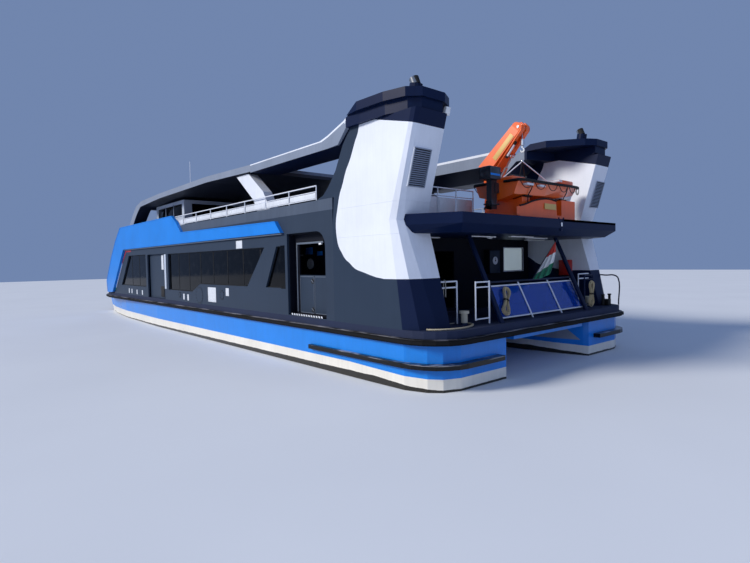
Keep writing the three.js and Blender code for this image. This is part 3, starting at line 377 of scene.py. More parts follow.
class Finishes(dict):
    """The finishes by name, made once and shared by every piece."""

    def __missing__(self, name):
        tone = bpy.context.scene.ferry_colours
        recipes = {
            # Gloss enamel sprayed on welded aluminium: sharp highlights that waver over the plates.
            "hull_enamel": dict(shade=hull_bands, roughness=0.3, coat=0.3, waves=3.0, sheen=0.2),
            # The same enamel sprayed on a flatter folded panel: a calmer, cleaner blue.
            "fascia_enamel": dict(shade=tone.hull, roughness=0.32, coat=0.2, waves=1.5, runs=0.03, sheen=0.2),
            # Satin paint rolled on plate: broad soft highlights, faint rain streaks and a fine stipple.
            "slate_paint": dict(shade=tone.slate, roughness=0.45, waves=2.0, grit=0.05, sheen=0.2),
            # Satin paint brushed on folded plate: nearly black in shade, blue in light.
            "navy_paint": dict(shade=tone.navy, roughness=0.4, waves=1.5, sheen=0.12),
            # Satin paint masked and sprayed over filled plate: even white, cut off sharply.
            "tower_paint": dict(shade=tower_wrap, roughness=0.42, waves=2.5, runs=0.04, mottle=0.04,
                                sheen=0.12),
            # Satin paint masked along welded girders: three tones that part at crisp edges, the white one a
            # painted highlight along the top.
            "beam_paint": dict(shade=beam_bands, roughness=0.4, waves=1.5, sheen=0.12),
            # Satin grey sprayed on pressed slats: soft, even light on each blade.
            "pale_paint": dict(shade=tone.pale, roughness=0.45, waves=1.5),
            # Satin paint rolled on a rounded shell: a pale crown that darkens underneath.
            "roof_paint": dict(shade=roof_bands, roughness=0.45, waves=1.5),
            # Powder coat baked on bent tube: clean white with a thin bright line along each bar.
            "white_paint": dict(shade=tone.white, roughness=0.35, coat=0.2, waves=0.2, mottle=0.04),
            # Powder coat on welded tube, the hand rail in a darker tone: a thin dark line over white bars.
            "stern_rail_paint": dict(shade=stern_rail_bands, roughness=0.35, waves=0.2),
            # Satin paint on sheet that rain runs down: grey with plain streaks.
            "bulwark_paint": dict(shade=linear("465264"), roughness=0.45, waves=1.5, runs=0.15, sheen=0.3),
            # Satin paint sprayed on a composite panel: flat bluish white.
            "house_white": dict(shade=linear("b7c2d4"), roughness=0.4, waves=1.0),
            # Paint on drawn pipe and channel: mid grey with a soft sheen.
            "duct_grey": dict(shade=linear("5b6676"), roughness=0.4, waves=0.4),
            # Epoxy with sand strewn in it: matt, gritty and trodden into patches.
            "deck_paint": dict(shade=deck_bands, roughness=0.75, mottle=0.14, grit=0.6, grit_size=6.0,
                               sheen=0.3),
            # Extruded rubber section: dull black, with long pale streaks of painted highlight on its top
            # edge.
            "fender_rubber": dict(shade=rubber_painted_highlight, roughness=0.7, mottle=0.2, grit=0.3, sheen=0.2),
            # Moulded rubber: black, slightly grained, without a highlight.
            "black_rubber": dict(shade=linear("0c0d10"), roughness=0.6, mottle=0.15, grit=0.15, sheen=0.3),
            # Matt near-black paint inside openings: painted shade that reads as depth.
            "shade_black": dict(shade=linear("0a0c11"), roughness=0.8, mottle=0.1),
            # Gelcoat laid in a mould under glass fibre: glossy orange with a slight ripple.
            "gelcoat": dict(shade=boat_bands, roughness=0.3, coat=0.5, waves=1.0, mottle=0.09),
            # Gloss paint over welded box section: strong orange with sharp lights along the edges.
            "crane_paint": dict(shade=tone.orange, roughness=0.34, coat=0.4, waves=0.8, mottle=0.08),
            # Turned and ground steel, hard-chromed on the rod: a narrow bright line.
            "bright_steel": dict(shade=linear("c3c8cf"), roughness=0.28, metallic=1.0, waves=0.1),
            # Bronze cast in sand and ground by hand: a warm, broken shine.
            "cast_bronze": dict(shade=linear("b08d4f"), roughness=0.4, metallic=1.0, waves=0.6),
            # Antifouling rolled on thickly: chalky and blotched.
            "bottom_paint": dict(shade=tone.bottom, roughness=0.7, mottle=0.15),
            # Laminated panes with a dark body tint: nearly black, hiding the saloon.
            "smoked_glass": dict(make=tinted, shade=tone.glass, clear=0.15, sheen=0.08, dusty=0.03),
            # Clear panes in the bulkhead that the day shines through: a bright pale field in a dark wall,
            # glowing as painted light.
            "pale_glass": dict(make=tinted, shade=linear("c8d6dc"), clear=0.2, painted_glow=0.22),
            # Cast acrylic dyed blue: deep colour that still lets the deck show.
            "blue_glass": dict(make=tinted, shade=tone.screen, clear=0.8),
            # Matt near-black paint on lining boards: painted shade that keeps the lobby, the aft wall and the
            # door recesses dark.
            "painted_shade_dark": dict(shade=linear("080d1b"), roughness=0.6, sheen=0.15),
            # Moulded glossy plastic: black with round, soft lights.
            "cowl_plastic": dict(shade=linear("20242c"), roughness=0.3, coat=0.4, waves=0.1),
            # Rigid white plastic sheet: clean, flat and a little shiny.
            "panel_plastic": dict(shade=linear("d5dbe4"), roughness=0.25, waves=0.3),
            # Enamel on a small pressed sheet: plain red.
            "signal_red": dict(shade=linear("a8201c"), roughness=0.4, waves=0.2),
            # Self-adhesive film: plain green.
            "signal_green": dict(shade=linear("177a52"), roughness=0.4, waves=0.2),
            # Thin plastic film stuck on: dull yellow.
            "label_yellow": dict(shade=linear("d8b46a"), roughness=0.5, waves=0.1),
            # Moulded clear cover over a white reflector: pale with a hard glint.
            "lamp_lens": dict(shade=linear("e9ecef"), roughness=0.15, coat=0.8, waves=0.1),
            # Three strands of plant fibre laid up hard: straw colour with slanting grooves.
            "manila": dict(make=laid_rope, shade=tone.manila, pitch=0.09, strands=3, size=0.026),
            # Three strands of old synthetic fibre: the same grooves in weathered grey.
            "grey_rope": dict(make=laid_rope, shade=linear("a9a79e"), pitch=0.09, strands=3, size=0.028),
            # Six-part plaited line: short crossing ridges in cream.
            "braided_line": dict(make=laid_rope, shade=tone.cream, pitch=0.06, strands=6, size=0.048),
            # Woven bunting sewn in stripes: matt, slightly soiled, with a fine weave.
            "woven_bunting": dict(make=bunting),
        }
        recipe = recipes[name]
        self[name] = recipe.pop("make", coated)(name, **recipe)
        return self[name]


FINISH = Finishes()

NODE_FINISHES = {
    "hull_enamel": "hull_port hull_starboard bridge_deck",
    "fascia_enamel": "fascia",
    "slate_paint": "side_wall_port side_wall_starboard front_wall boarding_door_port boarding_door_starboard"
                   " gate_aft_port gate_aft_starboard gate_fore_port gate_fore_starboard",
    # The starboard stern gate is given navy as painted shade.
    "navy_paint": "aft_platform stern_gate_starboard",
    "tower_paint": "tower_port tower_starboard",
    "beam_paint": "roof_beam_port roof_beam_starboard",
    "house_white": "wheelhouse",
    "roof_paint": "roof",
    "white_paint": "side_rail_port side_rail_starboard stern_gate_port bow_rail mast",
    "stern_rail_paint": "stern_rail",
    "bulwark_paint": "bulwark_port bulwark_starboard",
    "deck_paint": "main_deck upper_deck",
    "fender_rubber": "deck_fender",
    "gelcoat": "rescue_boat",
    "crane_paint": "boat_cradle crane_column crane_boom",
    "bright_steel": "luff_barrel luff_rod crane_hook",
    "cast_bronze": "propeller_port propeller_starboard",
    "bottom_paint": "rudder_port rudder_starboard",
    "smoked_glass": "glazing_aft_port glazing_aft_starboard glazing_forward_port glazing_forward_starboard"
                    " front_glass",
    "blue_glass": "stern_glass",
    "painted_shade_dark": "aft_bulkhead door_frame_port door_frame_starboard",
    "cowl_plastic": "outboard",
}


def placed(name, data, body):
    """An object that rides on a body, linked to the scene."""
    made = bpy.data.objects.new(name, data)
    bpy.context.scene.collection.objects.link(made)
    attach(made, body)
    return made


def finished(name, mesh, finish, body="ship", smooth=35.0):
    """Makes a bmesh a piece that rides on a body, shaded smooth across edges under the given angle."""
    bmesh.ops.remove_doubles(mesh, verts=mesh.verts, dist=1e-6)
    bmesh.ops.recalc_face_normals(mesh, faces=mesh.faces)
    data = bpy.data.meshes.new(name)
    mesh.to_mesh(data)
    mesh.free()
    data.shade_smooth()
    data.set_sharp_from_angle(angle=math.radians(smooth))
    data.materials.append(FINISH[finish])
    return placed(name, data, body)


def block(mesh, corner, opposite, bevel=0.004, place=Matrix()):
    """A box between two corners with its edges rounded, set by a placement."""
    low = Vector([min(pair) for pair in zip(corner, opposite)])
    high = Vector([max(pair) for pair in zip(corner, opposite)])
    size = high - low
    matrix = place @ Matrix.Translation((low + high) / 2) @ Matrix.Diagonal((*size, 1))
    made = bmesh.ops.create_cube(mesh, size=1, matrix=matrix)["verts"]
    edges = list({edge for vert in made for edge in vert.link_edges})
    bmesh.ops.bevel(mesh, geom=edges, offset=min(bevel, min(size) * 0.3), segments=2, profile=0.5,
                    affect="EDGES", material=-1, clamp_overlap=True)


def rod(mesh, start, end, radius, sides=16, far=None):
    """A round bar between two points, or a cone where far gives its other radius."""
    axis = end - start
    turn = axis.to_track_quat("Z", "Y").to_matrix().to_4x4()
    bmesh.ops.create_cone(mesh, cap_ends=True, segments=sides, radius1=radius, depth=axis.length,
                          radius2=radius if far is None else far,
                          matrix=Matrix.Translation((start + end) / 2) @ turn)


def ball(mesh, centre, radius, segments, squash=1.0):
    """A round body at a station, flattened by squash."""
    bmesh.ops.create_uvsphere(mesh, u_segments=segments, v_segments=segments // 2, radius=radius,
                              matrix=Matrix.Translation(at(*centre)) @ Matrix.Diagonal((1, 1, squash, 1)))


def fitting(name, finish, blocks=(), rods=(), sign=1, body="ship", smooth=35.0, place=None,
            mesh=None):
    """A piece of rounded blocks and round bars, given for the port side and put on the side of sign.

    A block is two corners and a bevel; a rod is two ends, a radius and its sides. Their points are stations
    on the ship, or points of a placement where one is given."""
    mesh = bmesh.new() if mesh is None else mesh
    origin, place = (STERN, Matrix()) if place is None else (0.0, place)
    for corner, opposite, *bevel in blocks:
        corners = [Vector((origin + x, y * sign, z)) for x, y, z in (corner, opposite)]
        block(mesh, *corners, *bevel, place=place)
    for start, end, *form in rods:
        ends = [place @ Vector((origin + x, y * sign, z)) for x, y, z in (start, end)]
        rod(mesh, *ends, *form)
    return finished(name, mesh, finish, body, smooth)


def slab(mesh, corners, thickness, bevel=0.0):
    """A flat plate on the given corners, thickened along their normal."""
    face = mesh.faces.new([mesh.verts.new(corner) for corner in corners])
    face.normal_update()
    lift = face.normal * thickness
    top = bmesh.ops.extrude_face_region(mesh, geom=[face])["geom"]
    raised = [item for item in top if isinstance(item, bmesh.types.BMVert)]
    bmesh.ops.translate(mesh, vec=lift, verts=raised)
    if bevel:
        rim = [edge for edge in mesh.edges if all(vert in raised for vert in edge.verts)]
        bmesh.ops.bevel(mesh, geom=rim, offset=bevel, segments=2, profile=0.5, affect="EDGES", material=-1)


def side_slab(mesh, outline, y, thickness):
    """A plate on the ship's side, thickened outward, on an outline of stations and heights."""
    corners = [at(x, y, z) for x, z in outline]
    slab(mesh, corners if y < 0 else corners[::-1], thickness)


def wires(name, runs, radius, finish, body="ship", rounded=True):
    """Bars, hoses and lashings that follow runs of points."""
    data = bpy.data.curves.new(name, "CURVE")
    data.dimensions = "3D"
    data.bevel_depth = radius
    data.bevel_resolution = 2
    data.use_fill_caps = True
    for run in runs:
        if rounded:
            spline = data.splines.new("BEZIER")
            spline.bezier_points.add(len(run) - 1)
            for point, place in zip(spline.bezier_points, run):
                point.co = place
                point.handle_left_type = point.handle_right_type = "AUTO"
            spline.resolution_u = 6
        else:
            spline = data.splines.new("POLY")
            spline.points.add(len(run) - 1)
            for point, place in zip(spline.points, run):
                point.co = (*place, 1)
    data.materials.append(FINISH[finish])
    return placed(name, data, body)


def facing(origin, across, up):
    """A placement whose X runs across a face, Y up it and Z out of it."""
    across, up = Vector(across).normalized(), Vector(up).normalized()
    out = across.cross(up).normalized()
    place = Matrix((across, up, out)).transposed().to_4x4()
    place.translation = Vector(origin)
    return place


def through(route, count):
    """Evenly spread points on one smooth curve through a route: a centripetal Catmull-Rom spline."""
    points = [Vector(p) for p in route]
    points = [2 * points[0] - points[1], *points, 2 * points[-1] - points[-2]]
    fine = []
    for a, b, c, d in zip(points, points[1:], points[2:], points[3:]):
        knots = [0.0]
        for p, q in ((a, b), (b, c), (c, d)):
            knots.append(knots[-1] + math.sqrt((q - p).length))
        for i in range(24):
            t = knots[1] + (knots[2] - knots[1]) * i / 24
            first = [p.lerp(q, (t - s) / (e - s)) for p, q, s, e in
                     ((a, b, knots[0], knots[1]), (b, c, knots[1], knots[2]), (c, d, knots[2], knots[3]))]
            second = [first[k].lerp(first[k + 1], (t - knots[k]) / (knots[k + 2] - knots[k])) for k in (0, 1)]
            fine.append(second[0].lerp(second[1], (t - knots[1]) / (knots[2] - knots[1])))
    fine.append(points[-2])
    runs = [0.0]
    for p, q in zip(fine, fine[1:]):
        runs.append(runs[-1] + (q - p).length)
    spread, k = [], 0
    for i in range(count + 1):
        want = runs[-1] * i / count
        while k < len(runs) - 2 and runs[k + 1] < want:
            k += 1
        spread.append(fine[k].lerp(fine[k + 1], (want - runs[k]) / (runs[k + 1] - runs[k])))
    return spread


def rope(name, path, radius, finish, body="ship"):
    """A rope swept along a path with its own UV map: metres along it, and turns round it."""
    mesh = bmesh.new()
    uv = mesh.loops.layers.uv.new("rope")
    sides = 10
    tangent = (path[1] - path[0]).normalized()
    normal = tangent.orthogonal().normalized()
    rings, run = [], [0.0]
    for i, point in enumerate(path):
        ahead = (path[min(i + 1, len(path) - 1)] - path[max(i - 1, 0)]).normalized()
        normal = (tangent.rotation_difference(ahead) @ normal).normalized()
        tangent = ahead
        place = facing(point, normal, tangent.cross(normal))
        rings.append(bmesh.ops.create_circle(mesh, segments=sides, radius=radius, matrix=place)["verts"])
        if i:
            run.append(run[-1] + (point - path[i - 1]).length)
    for i in range(len(rings) - 1):
        for k in range(sides):
            j = (k + 1) % sides
            face = mesh.faces.new((rings[i][k], rings[i][j], rings[i + 1][j], rings[i + 1][k]))
            for loop, u, v in zip(face.loops, (run[i], run[i], run[i + 1], run[i + 1]), (k, k + 1, k + 1, k)):
                loop[uv].uv = (u, v / sides)
    for ring in (rings[0], rings[-1]):
        mesh.faces.new(ring)
    return finished(name, mesh, finish, body, smooth=80), run[-1]


ROPE_RADIUS, LINE_RADIUS, HANK_RADIUS = 0.014, 0.024, 0.013
ROPE_Z, LINE_Z = 1.5146, 1.5243     # their centrelines where they lie on the deck
RAIL_ROPE = ((1.19, 3.3, ROPE_Z), (1.182, 3.48, 1.5152), (1.174, 3.6, 1.5196), (1.17, 3.675, 1.5366),
             (1.167, 3.712, 1.5746), (1.165, 3.726, 1.6746), (1.164, 3.734, 2.0), (1.162, 3.742, 2.58),
             (1.15, 3.745, 2.672), (1.115, 3.75, 2.69), (1.082, 3.756, 2.66), (1.074, 3.76, 2.58),
             (1.07, 3.765, 2.25))
MOORING_LINE = ((1.01, 3.24), (0.9, 3.17), (0.74, 3.16), (0.56, 3.29), (0.39, 3.62), (0.33, 4.05),
                (0.43, 4.42), (0.59, 4.66), (0.78, 4.81))
# Top, bottom, half-widths of the outer and inner turns, layers, body, side.
HANKS = (
    ((0.878, 1.35, 2.4), (0.5105, 1.9, 1.665), (0.14, 0.088), 4, "ship", "port"),
    ((0.4722, -2.93, 2.45), (0.4722, -2.93, 1.545), (0.152, 0.09), 3, "stern_gate_starboard", "starboard"),
)
WAIST = 0.55                        # share by which the strap draws a hank's turns together at mid-height
LAP_STEPS = 44


def hank_axes(top, bottom):
    """A hank's directions: up it, out of its back and across it."""
    up = (top - bottom).normalized()
    back = Vector((0, 1, 0)).cross(up).normalized()
    return up, back, up.cross(back).normalized()


def hank_path(top, bottom, widths, layers):
    """A rope wound in long turns that spiral in and out through its layers, drawn in at its waist."""
    up, back, across = hank_axes(top, bottom)
    middle = (top + bottom) / 2
    outer, inner = widths
    pitch = 2 * HANK_RADIUS + 0.0015
    turns = max(1, round((outer - inner) * (1 - WAIST) / pitch))
    straight = (top - bottom).length / 2 - outer - HANK_RADIUS - 0.006
    path = []
    for layer in range(layers):
        last = layer == layers - 1
        for i in range(LAP_STEPS * (turns + 1)):
            share = i / LAP_STEPS
            if share > turns and last:
                break
            shift = 0.0 if last else min(1.0, max(0.0, share - turns))
            inward = min(share / turns, 1.0)
            half = outer + (inner - outer) * (inward if layer % 2 == 0 else 1 - inward)
            depth = (layer + shift - (layers - 1) / 2) * pitch
            arc, leg = math.pi * half, 2 * straight
            along = (share % 1.0) * 2 * (arc + leg)
            if along < leg:
                flat = (half, -straight + along)
            elif along < leg + arc:
                turn = (along - leg) / half
                flat = (half * math.cos(turn), straight + half * math.sin(turn))
            elif along < 2 * leg + arc:
                flat = (-half, straight - (along - leg - arc))
            else:
                turn = (along - 2 * leg - arc) / half
                flat = (-half * math.cos(turn), -straight - half * math.sin(turn))
            drawn = 1 - WAIST * (1 - min(1.0, abs(flat[1]) / straight) ** 2) ** 2
            path.append(middle + across * flat[0] * drawn + up * flat[1] + back * depth)
    return path


class FERRY_OT_ropes(bpy.types.Operator):
    """Lay the rope over the quarter rail, the mooring line and the two hanks"""
    bl_idname = "ferry.ropes"
    bl_label = "Ropes"

    def execute(self, context):
        path = through([at(*p) for p in RAIL_ROPE], 48)
        piece, reach = rope("rail_rope_laid", path, ROPE_RADIUS, "grey_rope")
        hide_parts("rail_rope")
        path[0]
        path = through([at(x, y, LINE_Z) for x, y in MOORING_LINE], 40)
        piece, reach = rope("mooring_line_braided", path, LINE_RADIUS, "braided_line")
        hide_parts("mooring_line")
        path[0]
        for top, bottom, widths, layers, body, side in HANKS:
            path = hank_path(at(*top), at(*bottom), widths, layers)
            piece, reach = rope(f"hank_{side}_wound", path, HANK_RADIUS, "manila", body)
            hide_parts(f"hank_{side}")
            path[0]
        return {"FINISHED"}


# The ensign's two edges from head to foot, as stations and heights: on the raked staff, and falling free.
STAFF_EDGE = ((0.21, 3.685), (0.59, 3.13), (0.97, 2.57))
FREE_EDGE = ((0.195, 3.68), (0.186, 3.4), (0.24, 3.05), (0.33, 2.76))
HOIST, ENSIGN_ROWS = 1.25, 36


class FERRY_OT_ensign(bpy.types.Operator):
    """Hang the three-striped ensign in limp folds from its raked staff"""
    bl_idname = "ferry.ensign"
    bl_label = "Ensign"

    def execute(self, context):
        bound, free = (through([(x, 0, z) for x, z in edge], ENSIGN_ROWS) for edge in (STAFF_EDGE, FREE_EDGE))
        mesh = bmesh.new()
        uv = mesh.loops.layers.uv.new("cloth")
        grid = bmesh.ops.create_grid(mesh, x_segments=40, y_segments=ENSIGN_ROWS, size=0.5)["verts"]
        for face in mesh.faces:
            for loop in face.loops:
                across, down = loop.vert.co.x + 0.5, 0.5 - loop.vert.co.y
                loop[uv].uv = (across, min(0.999, down * (0.775 + 0.3 * across)))
        for vert in grid:
            across, down = vert.co.x + 0.5, 0.5 - vert.co.y
            row = round(down * ENSIGN_ROWS)
            spot = bound[row].lerp(free[row], across)
            belly = math.sin(across * math.pi) * down ** 4 * 0.05
            loose = min(1.0, down * 2.5) * min(1.0, across * 5)
            fold = (1 - math.cos(across * 19 + down * 2.2)) * 0.034 * loose
            vert.co = (STERN + spot.x, -0.147 + fold, spot.z - belly)
        piece = finished("ensign_bunting", mesh, "woven_bunting", smooth=180)
        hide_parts("flag")
        return {"FINISHED"}


class FERRY_OT_coatings(bpy.types.Operator):
    """Give every solid of the ferry its finish"""
    bl_idname = "ferry.coatings"
    bl_label = "Coatings"

    def execute(self, context):
        for finish, names in NODE_FINISHES.items():
            for name in names.split():
                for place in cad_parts[name].material_slots:
                    place.material = FINISH[finish]
        return {"FINISHED"}


LOUVRE_Z, SLAT_TILT = 5.5, math.radians(-38)
LOUVRE_STATION = 1.27 - (LOUVRE_Z - 5.06) * 0.2973 - 0.031      # just aft of the tower's raked face
LOUVRE_FRAME = (((-0.3, -0.478), (-0.27, 0.478)), ((0.27, -0.478), (0.3, 0.478)),
                ((-0.3, -0.478), (0.3, -0.448)), ((-0.3, 0.448), (0.3, 0.478)))
# Each weld seam's height, the aft face's station there, the chamfer's width and the number of runs.
TOWER_SEAMS = ((4.71, 1.358, 0.232, 4), (3.9, 1.381, 0.304, 2))


class FERRY_OT_towers(bpy.types.Operator):
    """Fit the towers' louvres, weld seams, lamp and exhaust mouths"""
    bl_idname = "ferry.towers"
    bl_label = "Towers"

    def execute(self, context):
        slats = context.scene.ferry_sizes.slats
        for side, sign in SIDES:
            place = facing(at(LOUVRE_STATION, 4.63 * sign, LOUVRE_Z), (0, -1, 0), (-0.285, 0, 0.9585))
            # A near-black sheet behind the slats: painted shade.
            fitting(f"louvre_back_{side}", "shade_black",
                    [((-0.285, -0.455, -0.002), (0.285, 0.455, 0.006), 0.002)], place=place)
            vent = bmesh.new()
            for low, high in LOUVRE_FRAME:
                block(vent, (*low, 0.0), (*high, 0.026), 0.004, place)
            for i in range(slats):
                level = -0.43 + 0.86 * (i + 0.5) / slats
                tilt = Matrix.Translation((0, level, 0.013)) @ Matrix.Rotation(SLAT_TILT, 4, "X")
                block(vent, (-0.272, -0.019, -0.002), (0.272, 0.019, 0.002), 0.001, place @ tilt)
            finished(f"louvre_{side}", vent, "pale_paint")

            seams = []
            for z, aft, corner, runs in TOWER_SEAMS:
                ring = [(3.9, WALL_Y, z), (aft + corner, WALL_Y, z),
                        (aft + corner * 0.3, WALL_Y - corner * 0.3, z), (aft, WALL_Y - corner, z),
                        (aft, 4.0, z)]
                seams += [(a, b, 0.006, 8) for a, b in zip(ring[:runs], ring[1:])]
            fitting(f"tower_welds_{side}", "tower_paint", rods=seams, sign=sign)
            if side == "port":
                fitting("flood_lamp", "lamp_lens",
                        [((-0.09, -0.11, -0.05), (0.09, 0.11, 0.06), 0.02)],
                        place=facing(at(1.0, 3.72, 7.02), (0, -1, 0), (-0.3, 0, 0.95)))
            fitting(f"exhaust_pipe_{side}", "duct_grey", sign=sign,
                    rods=[((1.52, 4.3, 7.7), (1.6, 4.3, 7.88), 0.115, 24)])
            # A near-black plug in the pipe's mouth: painted shade.
            fitting(f"exhaust_mouth_{side}", "shade_black", sign=sign,
                    rods=[((1.495, 4.28, 7.7), (1.575, 4.28, 7.9), 0.108, 24)])
        return {"FINISHED"}


# Outlines on the ship's side, as stations and heights.
FASCIA_OUTLINE = ((6.88, 4.2), (25.47, 4.2), (28.29, 1.56), (28.7, 1.53), (29.56, 1.53), (29.7, 2.27),
                  (28.45, 3.66), (27.2, 4.78), (26.04, 5.56), (17.0, 5.56), (16.4, 5.2), (15.84, 4.72),
                  (7.25, 4.6))
WINDOWS = (
    ((21.6, 2.05), (26.55, 2.05), (24.8, 3.82), (21.6, 3.82)),
    ((7.1, 2.38), (14.06, 2.36), (14.97, 2.0), (18.05, 2.0), (18.05, 3.77), (7.1, 3.77)),
    ((9.8, 2.38), (8.2, 3.77), (7.36, 3.77), (8.17, 2.38)),
)
WINDOW_LAP = ((6.85, 2.36), (7.12, 2.36), (7.12, 3.79), (6.85, 3.79))
# Station, foot and head of each bar between the panes.
MULLIONS = (*((x, 2.42, 3.74) for x in (8.65, 10.0, 11.37, 12.74)),
            *((x, 2.05, 3.74) for x in (14.1, 15.42, 16.74)), (23.0, 2.1, 3.78), (24.4, 2.1, 3.78))
# Points on the stripe's outer and inner edge, and the finish of each length between them.
STRIPE = (((28.15, 1.69), (28.01, 1.67)), ((27.98, 1.85), (27.84, 1.83)), ((26.35, 3.38), (26.21, 3.36)),
          ((25.45, 4.15), (25.36, 4.04)), ((24.3, 4.15), (24.3, 4.04)))
STRIPE_FINISHES = ("signal_green", "white_paint", "signal_red", "signal_red")
# Aft and fore station, foot and head of each plate; station, height, radius and bolts of each round cover.
SIDE_PLATES = ((9.9, 10.41, 3.79, 4.08), (24.86, 25.02, 1.6, 1.87), (24.3, 24.46, 1.6, 1.86),
               (23.3, 23.46, 1.58, 1.84), (22.29, 22.45, 1.58, 1.84), (15.93, 16.1, 1.6, 1.87),
               (15.41, 15.59, 1.58, 1.86), (12.4, 13.21, 1.64, 2.25), (11.17, 11.45, 1.95, 2.26))
SIDE_COVERS = ((16.53, 1.81, 0.13, 8), (14.17, 1.87, 0.4, 16), (11.83, 1.97, 0.2, 10))
PLATE = 0.006                       # thickness of a plate on the wall
# Name, finish, fore station, foot and head of each plate on the boarding doors.
DOOR_PLATES = (("notice", "panel_plastic", 19.42, 2.99, 3.75), ("hatch", "shade_black", 19.6, 1.58, 2.13))


def border(mesh, outline, y, width, depth):
    """A raised border just inside an outline on the ship's side."""
    face = mesh.faces.new([mesh.verts.new(at(x, y, z)) for x, z in outline])
    face.normal_update()
    ring = bmesh.ops.inset_region(mesh, faces=[face], thickness=width, use_boundary=True,
                                  use_even_offset=True)["faces"]
    bmesh.ops.delete(mesh, geom=[face], context="FACES")
    top = bmesh.ops.extrude_face_region(mesh, geom=ring)["geom"]
    raised = [item for item in top if isinstance(item, bmesh.types.BMVert)]
    bmesh.ops.translate(mesh, vec=(0, depth if y > 0 else -depth, 0), verts=raised)


class FERRY_OT_side_trim(bpy.types.Operator):
    """Fit the fascia's moulding, gutters, window seals, stripes, plates and vents"""
    bl_idname = "ferry.side_trim"
    bl_label = "Side trim"

    def execute(self, context):
        width = context.scene.ferry_sizes.moulding
        for side, sign in SIDES:
            wall = WALL_Y * sign
            rim = bmesh.new()
            border(rim, FASCIA_OUTLINE, (FASCIA_Y - 0.001) * sign, width, 0.014)
            finished(f"fascia_moulding_{side}", rim, "fascia_enamel")
            fitting(f"gutter_{side}", "duct_grey", sign=sign,
                    rods=[((6.9, 5.165, 4.172), (25.45, 5.165, 4.172), 0.03, 12)])
            fitting(f"fascia_drip_edge_{side}", "white_paint",
                    [((6.92, FASCIA_Y, 4.204), (25.46, FASCIA_Y + 0.006, 4.222))], sign=sign)

            seals = bmesh.new()
            for outline in WINDOWS:
                border(seals, outline, PANE_Y * sign, 0.035, 0.012)
            fitting(f"window_seals_{side}", "black_rubber", sign=sign, mesh=seals,
                    blocks=[((x - 0.018, PANE_Y, foot), (x + 0.018, PANE_Y + 0.008, head))
                            for x, foot, head in MULLIONS])
            lap = bmesh.new()
            side_slab(lap, WINDOW_LAP, wall, 0.004)
            finished(f"window_lap_{side}", lap, "smoked_glass")
            for part, shade in enumerate(STRIPE_FINISHES):
                stripe = bmesh.new()
                (start, start_in), (end, end_in) = STRIPE[part:part + 2]
                side_slab(stripe, (start, end, end_in, start_in), wall, 0.003)
                finished(f"window_stripe_{part}_{side}", stripe, shade)

            near = min(wall, wall + PLATE * sign)
            plates = [((x0, wall, z0), (x1, wall + PLATE * sign, z1), 0.002)
                      for x0, x1, z0, z1 in SIDE_PLATES]
            plates += [((12.47, near, 1.69 + i * 0.06), (13.14, near + 2 * PLATE, 1.71 + i * 0.06))
                       for i in range(9)]
            fitting(f"side_plates_{side}", "panel_plastic", plates)
            fitting(f"side_covers_{side}", "slate_paint", sign=sign,
                    rods=[((x, WALL_Y - 0.02, z), (x, WALL_Y + 0.008, z), radius, 40)
                          for x, z, radius, _ in SIDE_COVERS])
            bolts = []
            for x, z, radius, count in SIDE_COVERS:
                for i in range(count):
                    angle = 2 * math.pi * i / count
                    spot = Vector((x + radius * 0.86 * math.cos(angle), WALL_Y + 0.006,
                                   z + radius * 0.86 * math.sin(angle)))
                    bolts.append((spot, spot + Vector((0, 0.008, 0)), 0.022, 8))
            fitting(f"side_cover_bolts_{side}", "shade_black", rods=bolts, sign=sign)
            fitting(f"doorway_post_{side}", "house_white",
                    [((18.34, near, 2.03), (18.58, near + (2 * PLATE if sign > 0 else PLATE), 3.76))])
            for name, finish, fore, foot, head in DOOR_PLATES:
                fitting(f"door_{name}_{side}", finish, sign=sign, body=f"boarding_door_{side}",
                        blocks=[((19.1, 4.966, foot), (fore, 4.972, head), 0.002)])
        return {"FINISHED"}


GATE_LEAVES = (("aft", 4.746, 5.556), ("fore", 5.564, 6.394))
LATCH_X, LATCH_Z = 5.66, (1.72, 2.62)


